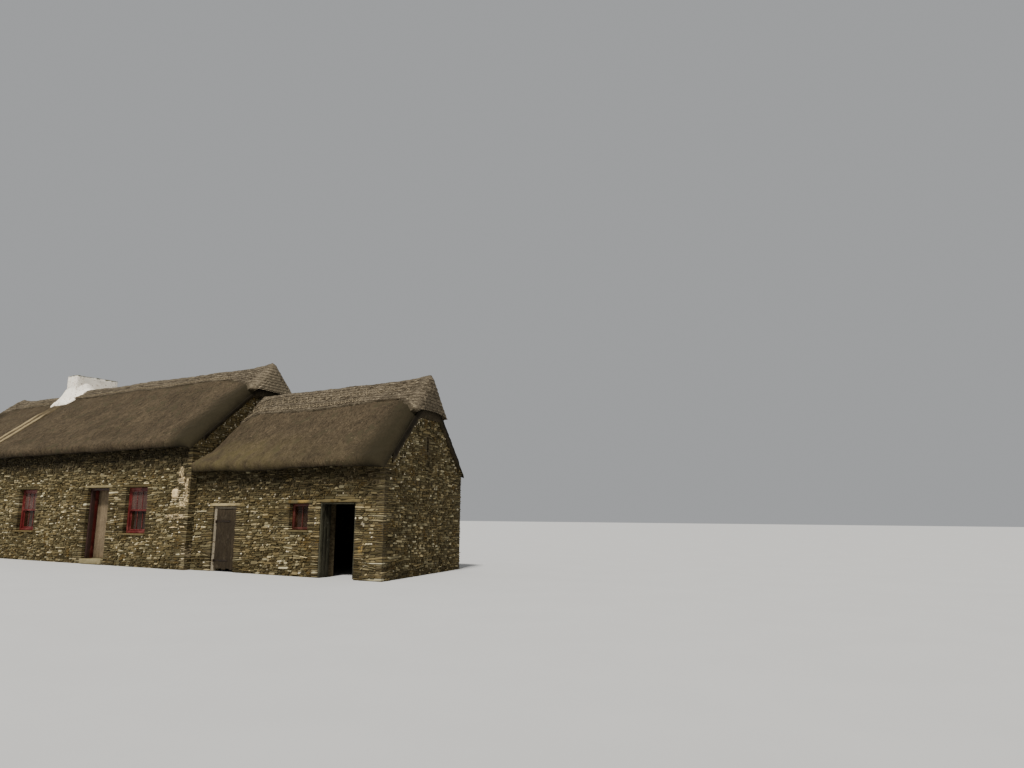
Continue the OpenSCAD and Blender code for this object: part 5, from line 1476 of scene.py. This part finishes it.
def cap_heights(roof):
    """Heights of the cap's crest and of the hood's rim."""
    crest = float(top_of(roof, np.array(0.0))) + cap_thick
    return crest, crest - hood_drop - rim_drop + roof["rim_up"]


def cap_rows(roof, start_in, cells):
    """Closed outlines from the cap's start to the hood's rim: along the ridge, over the flare,
    round the roll and down the hood. Also the level heights of their top points, and how far
    each point hangs over the verge."""
    facing, plain_x, plain_lean = roof["facing"], roof["plain_x"] + start_in, roof["plain_lean"]
    rim_z = cap_heights(roof)[1]
    c_top, c_low = np.linspace(-1, 1, columns), np.linspace(1, -1, under_columns)
    rounded = np.sqrt(np.clip(1 - ((np.abs(c_top) - 0.95) / 0.05).clip(0) ** 2, 0, 1)) * 0.5 + 0.5
    steps = [("band", f) for f in np.linspace(0, 1, cells)[:-1]] + \
            [("flare", t) for t in np.linspace(0, 1, flare_rows + 1)[:-1]] + \
            [("roll", math.radians(a)) for a in (0, 11, 22, 33, 43, 52, 60, 67, 73, 79)] + \
            [("hood", t) for t in np.linspace(0, 1, 14)[1:]]
    flare_at, flare_wide = np.array(roof["widths"]).T
    rows, overs, heights = [], [], []
    for kind, t in steps:
        a = {"band": 0.0, "flare": 0.0, "roll": t, "hood": last_roll}[kind]
        k = math.cos(a)
        wide = np.interp({"band": 0, "flare": t}.get(kind, 1), flare_at, flare_wide)
        out = []
        for c, top in ((c_top, True), (c_low, False)):
            rim_wide = np.where(c < 0, roof["rims"][0], roof["rims"][1])
            rim_deep = rim_z - cap_thick - roof["wall"] - k * thatch_deep / math.cos(roof["slope"])
            to_rim = roof["half"] - rim_deep / math.tan(roof["slope"])
            wide_here = np.minimum(wide + 0.12 * math.sin(a), to_rim)
            s = c * (wide_here + (rim_wide - wide_here) * (t if kind == "hood" else 0))
            edge = verge_line(roof, s)
            lip = 0.065 + (hood_lip - 0.065) * math.sin(a) if top else 0.012 * math.sin(a)
            if kind == "band":
                start = plain_x - plain_lean * (roof["mid"] + s)
                x = start + t * (edge - facing * (roll_length(roof, s) + roof["flare"]) - start)
            elif kind == "flare":
                x = edge - facing * (roll_length(roof, s) + roof["flare"] * (1 - t) - lip * t * top)
            else:
                x = edge - facing * (roll_length(roof, s) * (1 - math.sin(a)) - lip)
            rise = {"band": 0.0, "flare": cap_rise * t * t * (1 - np.abs(c))}
            rise = rise.get(kind, cap_rise * k * (1 - np.abs(c)))
            plain = top_of(roof, s, k) + (cap_thick * rounded if top else -0.012)
            z = plain + (rise if top else 0)
            if kind == "hood":
                rim = rim_z + roof["arch"] * (1 - c * c) - roof["fall"] * np.clip(c, 0, 1) ** 2
                stand = hood_lip + (hood_stand - verge_out - hood_lip) * t
                within = 0.004 + max(0.0, stand - 0.055) * min(1.0, max(0.0, (t - 0.25) / 0.6))
                x = edge + facing * (stand if top else within)
                z = z + (rim - z) * t + (0.012 * t if not top else 0)
                plain = plain + (rim - plain) * t
            row = np.stack([x, roof["mid"] + s, z], 1)
            move = sway(row) - sag(roof, row[:, 0] - plain_x + plain_lean * (roof["mid"] + s), s)
            if top:
                shaggy = 0.007 * ripple(row, 0.13, 341) + 0.0045 * ripple(row, 0.06, 342)
                row[:, 2] += move * k + shaggy * (0.35 + 0.65 * k)
                row[:, 1] += np.sign(s) * shaggy * 0.6 \
                    + np.sign(s) * (np.abs(c) == 1) * 0.006 * ripple(row, 0.09, 343)
                row[:, 0] += facing * shaggy * math.sin(a)
                if kind == "hood":
                    row[:, 2] -= 0.010 * t ** 3 * (0.5 + ripple(row * np.array([1, 1, 0]), 0.05, 344))
                heights.append(plain)
            else:
                row[:, 2] += move * k
            out.append(row)
        rows.append(np.concatenate(out))
        over = 0.0 if kind in ("band", "flare") else math.sin(a) * (0.6 + 0.4 * (kind == "hood"))
        overs.append(np.full(columns + under_columns, over))
    return np.array(rows), np.array(heights), np.concatenate(overs)


def between(line, at):
    """The point at a fractional place along a line of points."""
    i = min(int(at), len(line) - 2)
    return line[i] + (line[i + 1] - line[i]) * (at - i)


def lay_rods(name, roof, skin, heights, cells):
    """Thin rods lie level along both slopes of the cap and on round the face of the hood."""
    crest, rim_z = cap_heights(roof)
    turn_row, middle = cells - 1 + flare_rows, columns // 2
    long_rows = [r for r in range(turn_row) if r % 3 == 0 or r >= cells]
    paths = []
    for z in np.arange(rim_z + roof["arch"] + 0.03, crest - 0.10, rod_apart):
        front, back = [], []
        for r in (r for r in long_rows if heights[r, 0] < z - 0.004):
            front.append((r, float(np.interp(z, heights[r, :middle + 1], np.arange(middle + 1)))))
            from_back = float(np.interp(z, heights[r, :middle - 1:-1], np.arange(middle + 1)))
            back.append((r, columns - 1 - from_back))
        first = math.ceil(front[-1][1]) if front else 0
        last = math.floor(back[-1][1]) if back else columns - 1
        line = [between(skin[r], at) for r, at in front]
        for column in range(first, last + 1):
            drop = -heights[turn_row - 1:, column]
            line.append(between(skin[turn_row - 1:, column], np.interp(-z, drop, np.arange(len(drop)))))
        line = np.array(line + [between(skin[r], at) for r, at in back[::-1]])
        line[1:-1] = (line[:-2] + 2 * line[1:-1] + line[2:]) / 4
        line[:, 2] += 0.0015
        where_at = np.linspace(0, len(line) - 1, 2 * len(long_rows) + columns)
        paths.append(np.column_stack([np.interp(where_at, np.arange(len(line)), axis) for axis in line.T]))
    points, quads, ends = rods_along(paths, 0.0080, 4)
    rods = make_piece(name + "_rods", points, [quads, ends], [rod_finish], crisp=60)
    fit(rods, "masonry", ())


def set_spars(name, roof, skin, cells):
    """Split spars cross between two lanes near the lower edge, with their bent ends standing up."""
    crosses = []
    along_x = skin[:cells, columns // 2, 0]
    length = abs(along_x[-1] - along_x[0])
    lanes = [(side, 0.13, 0.93, 0.77) for side in (-1, 1)]
    if roof is BYRE:
        lanes += [(side, 0.24, 0.66, 0.30) for side in (-1, 1)]
    for side, apart, low_lane, high_lane in lanes:
        for j in range(int(length / apart) + 3 * (apart > 0.2)):
            for way in (0, 1):
                ends_at = []
                for share, lane in ((j + way, low_lane), (j + 1 - way, high_lane)):
                    row_at = share * apart / length * (cells - 1)
                    column = (side * lane + 1) / 2 * (columns - 1)
                    i = min(int(row_at), cells + flare_rows - 3)
                    two = [between(skin[i], column), between(skin[i + 1], column)]
                    ends_at.append(between(two, row_at - i))
                a, b = np.array(ends_at)
                lift = np.array([0, side * 0.004, 0.005])
                crosses.append([a + lift, (a + b) / 2 + lift * 2.2, b + lift])
    points, quads, ends = rods_along(crosses, 0.0055, 4)
    bent = [(a + np.array([0, 0, 0.002]), a + 0.12 * (b - a) + np.array([0, 0, 0.016]),
             a + 0.30 * (b - a) + np.array([0, 0, 0.004])) for a, _, b in crosses]
    pegs, peg_quads, peg_ends = rods_along(bent, 0.009, 6)
    spars = make_piece(name + "_spars", np.concatenate([points, pegs]),
                       [quads, ends, peg_quads + len(points), peg_ends + len(points)],
                       [spar_finish], crisp=60)
    fit(spars, "masonry", ())


def ridge_cap(name, roof, start_in, cells, node):
    """A cap with its hood, rods and spars, which starts start_in past the roof's plain end."""
    rows, heights, overs = cap_rows(roof, start_in, cells)
    points, quads, ends = closed_tube(rows, roof["facing"])
    # The lip marks on the edge columns paint the cap's side edges dark, as painted shadow under its lip.
    lip_shade = np.ones(columns + under_columns)
    lip_shade[1:columns - 1] = 0
    fit(make_piece(name, points, [quads, ends], [cap_finish],
                   marks={"over": overs, "lip": np.tile(lip_shade, len(rows))}, crisp=60),
        "masonry", [node])
    lay_rods(name, roof, rows[:, :columns], heights, cells)
    set_spars(name, roof, rows[:, :columns], cells)


ridge_cap("room_cap", ROOM, start_in=-0.25, cells=40, node="room_ridge_cap")
ridge_cap("house_cap", HOUSE, start_in=0.25, cells=130, node="house_ridge_cap")
ridge_cap("byre_cap", BYRE, start_in=0.0, cells=95, node="byre_ridge_cap")


low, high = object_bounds()
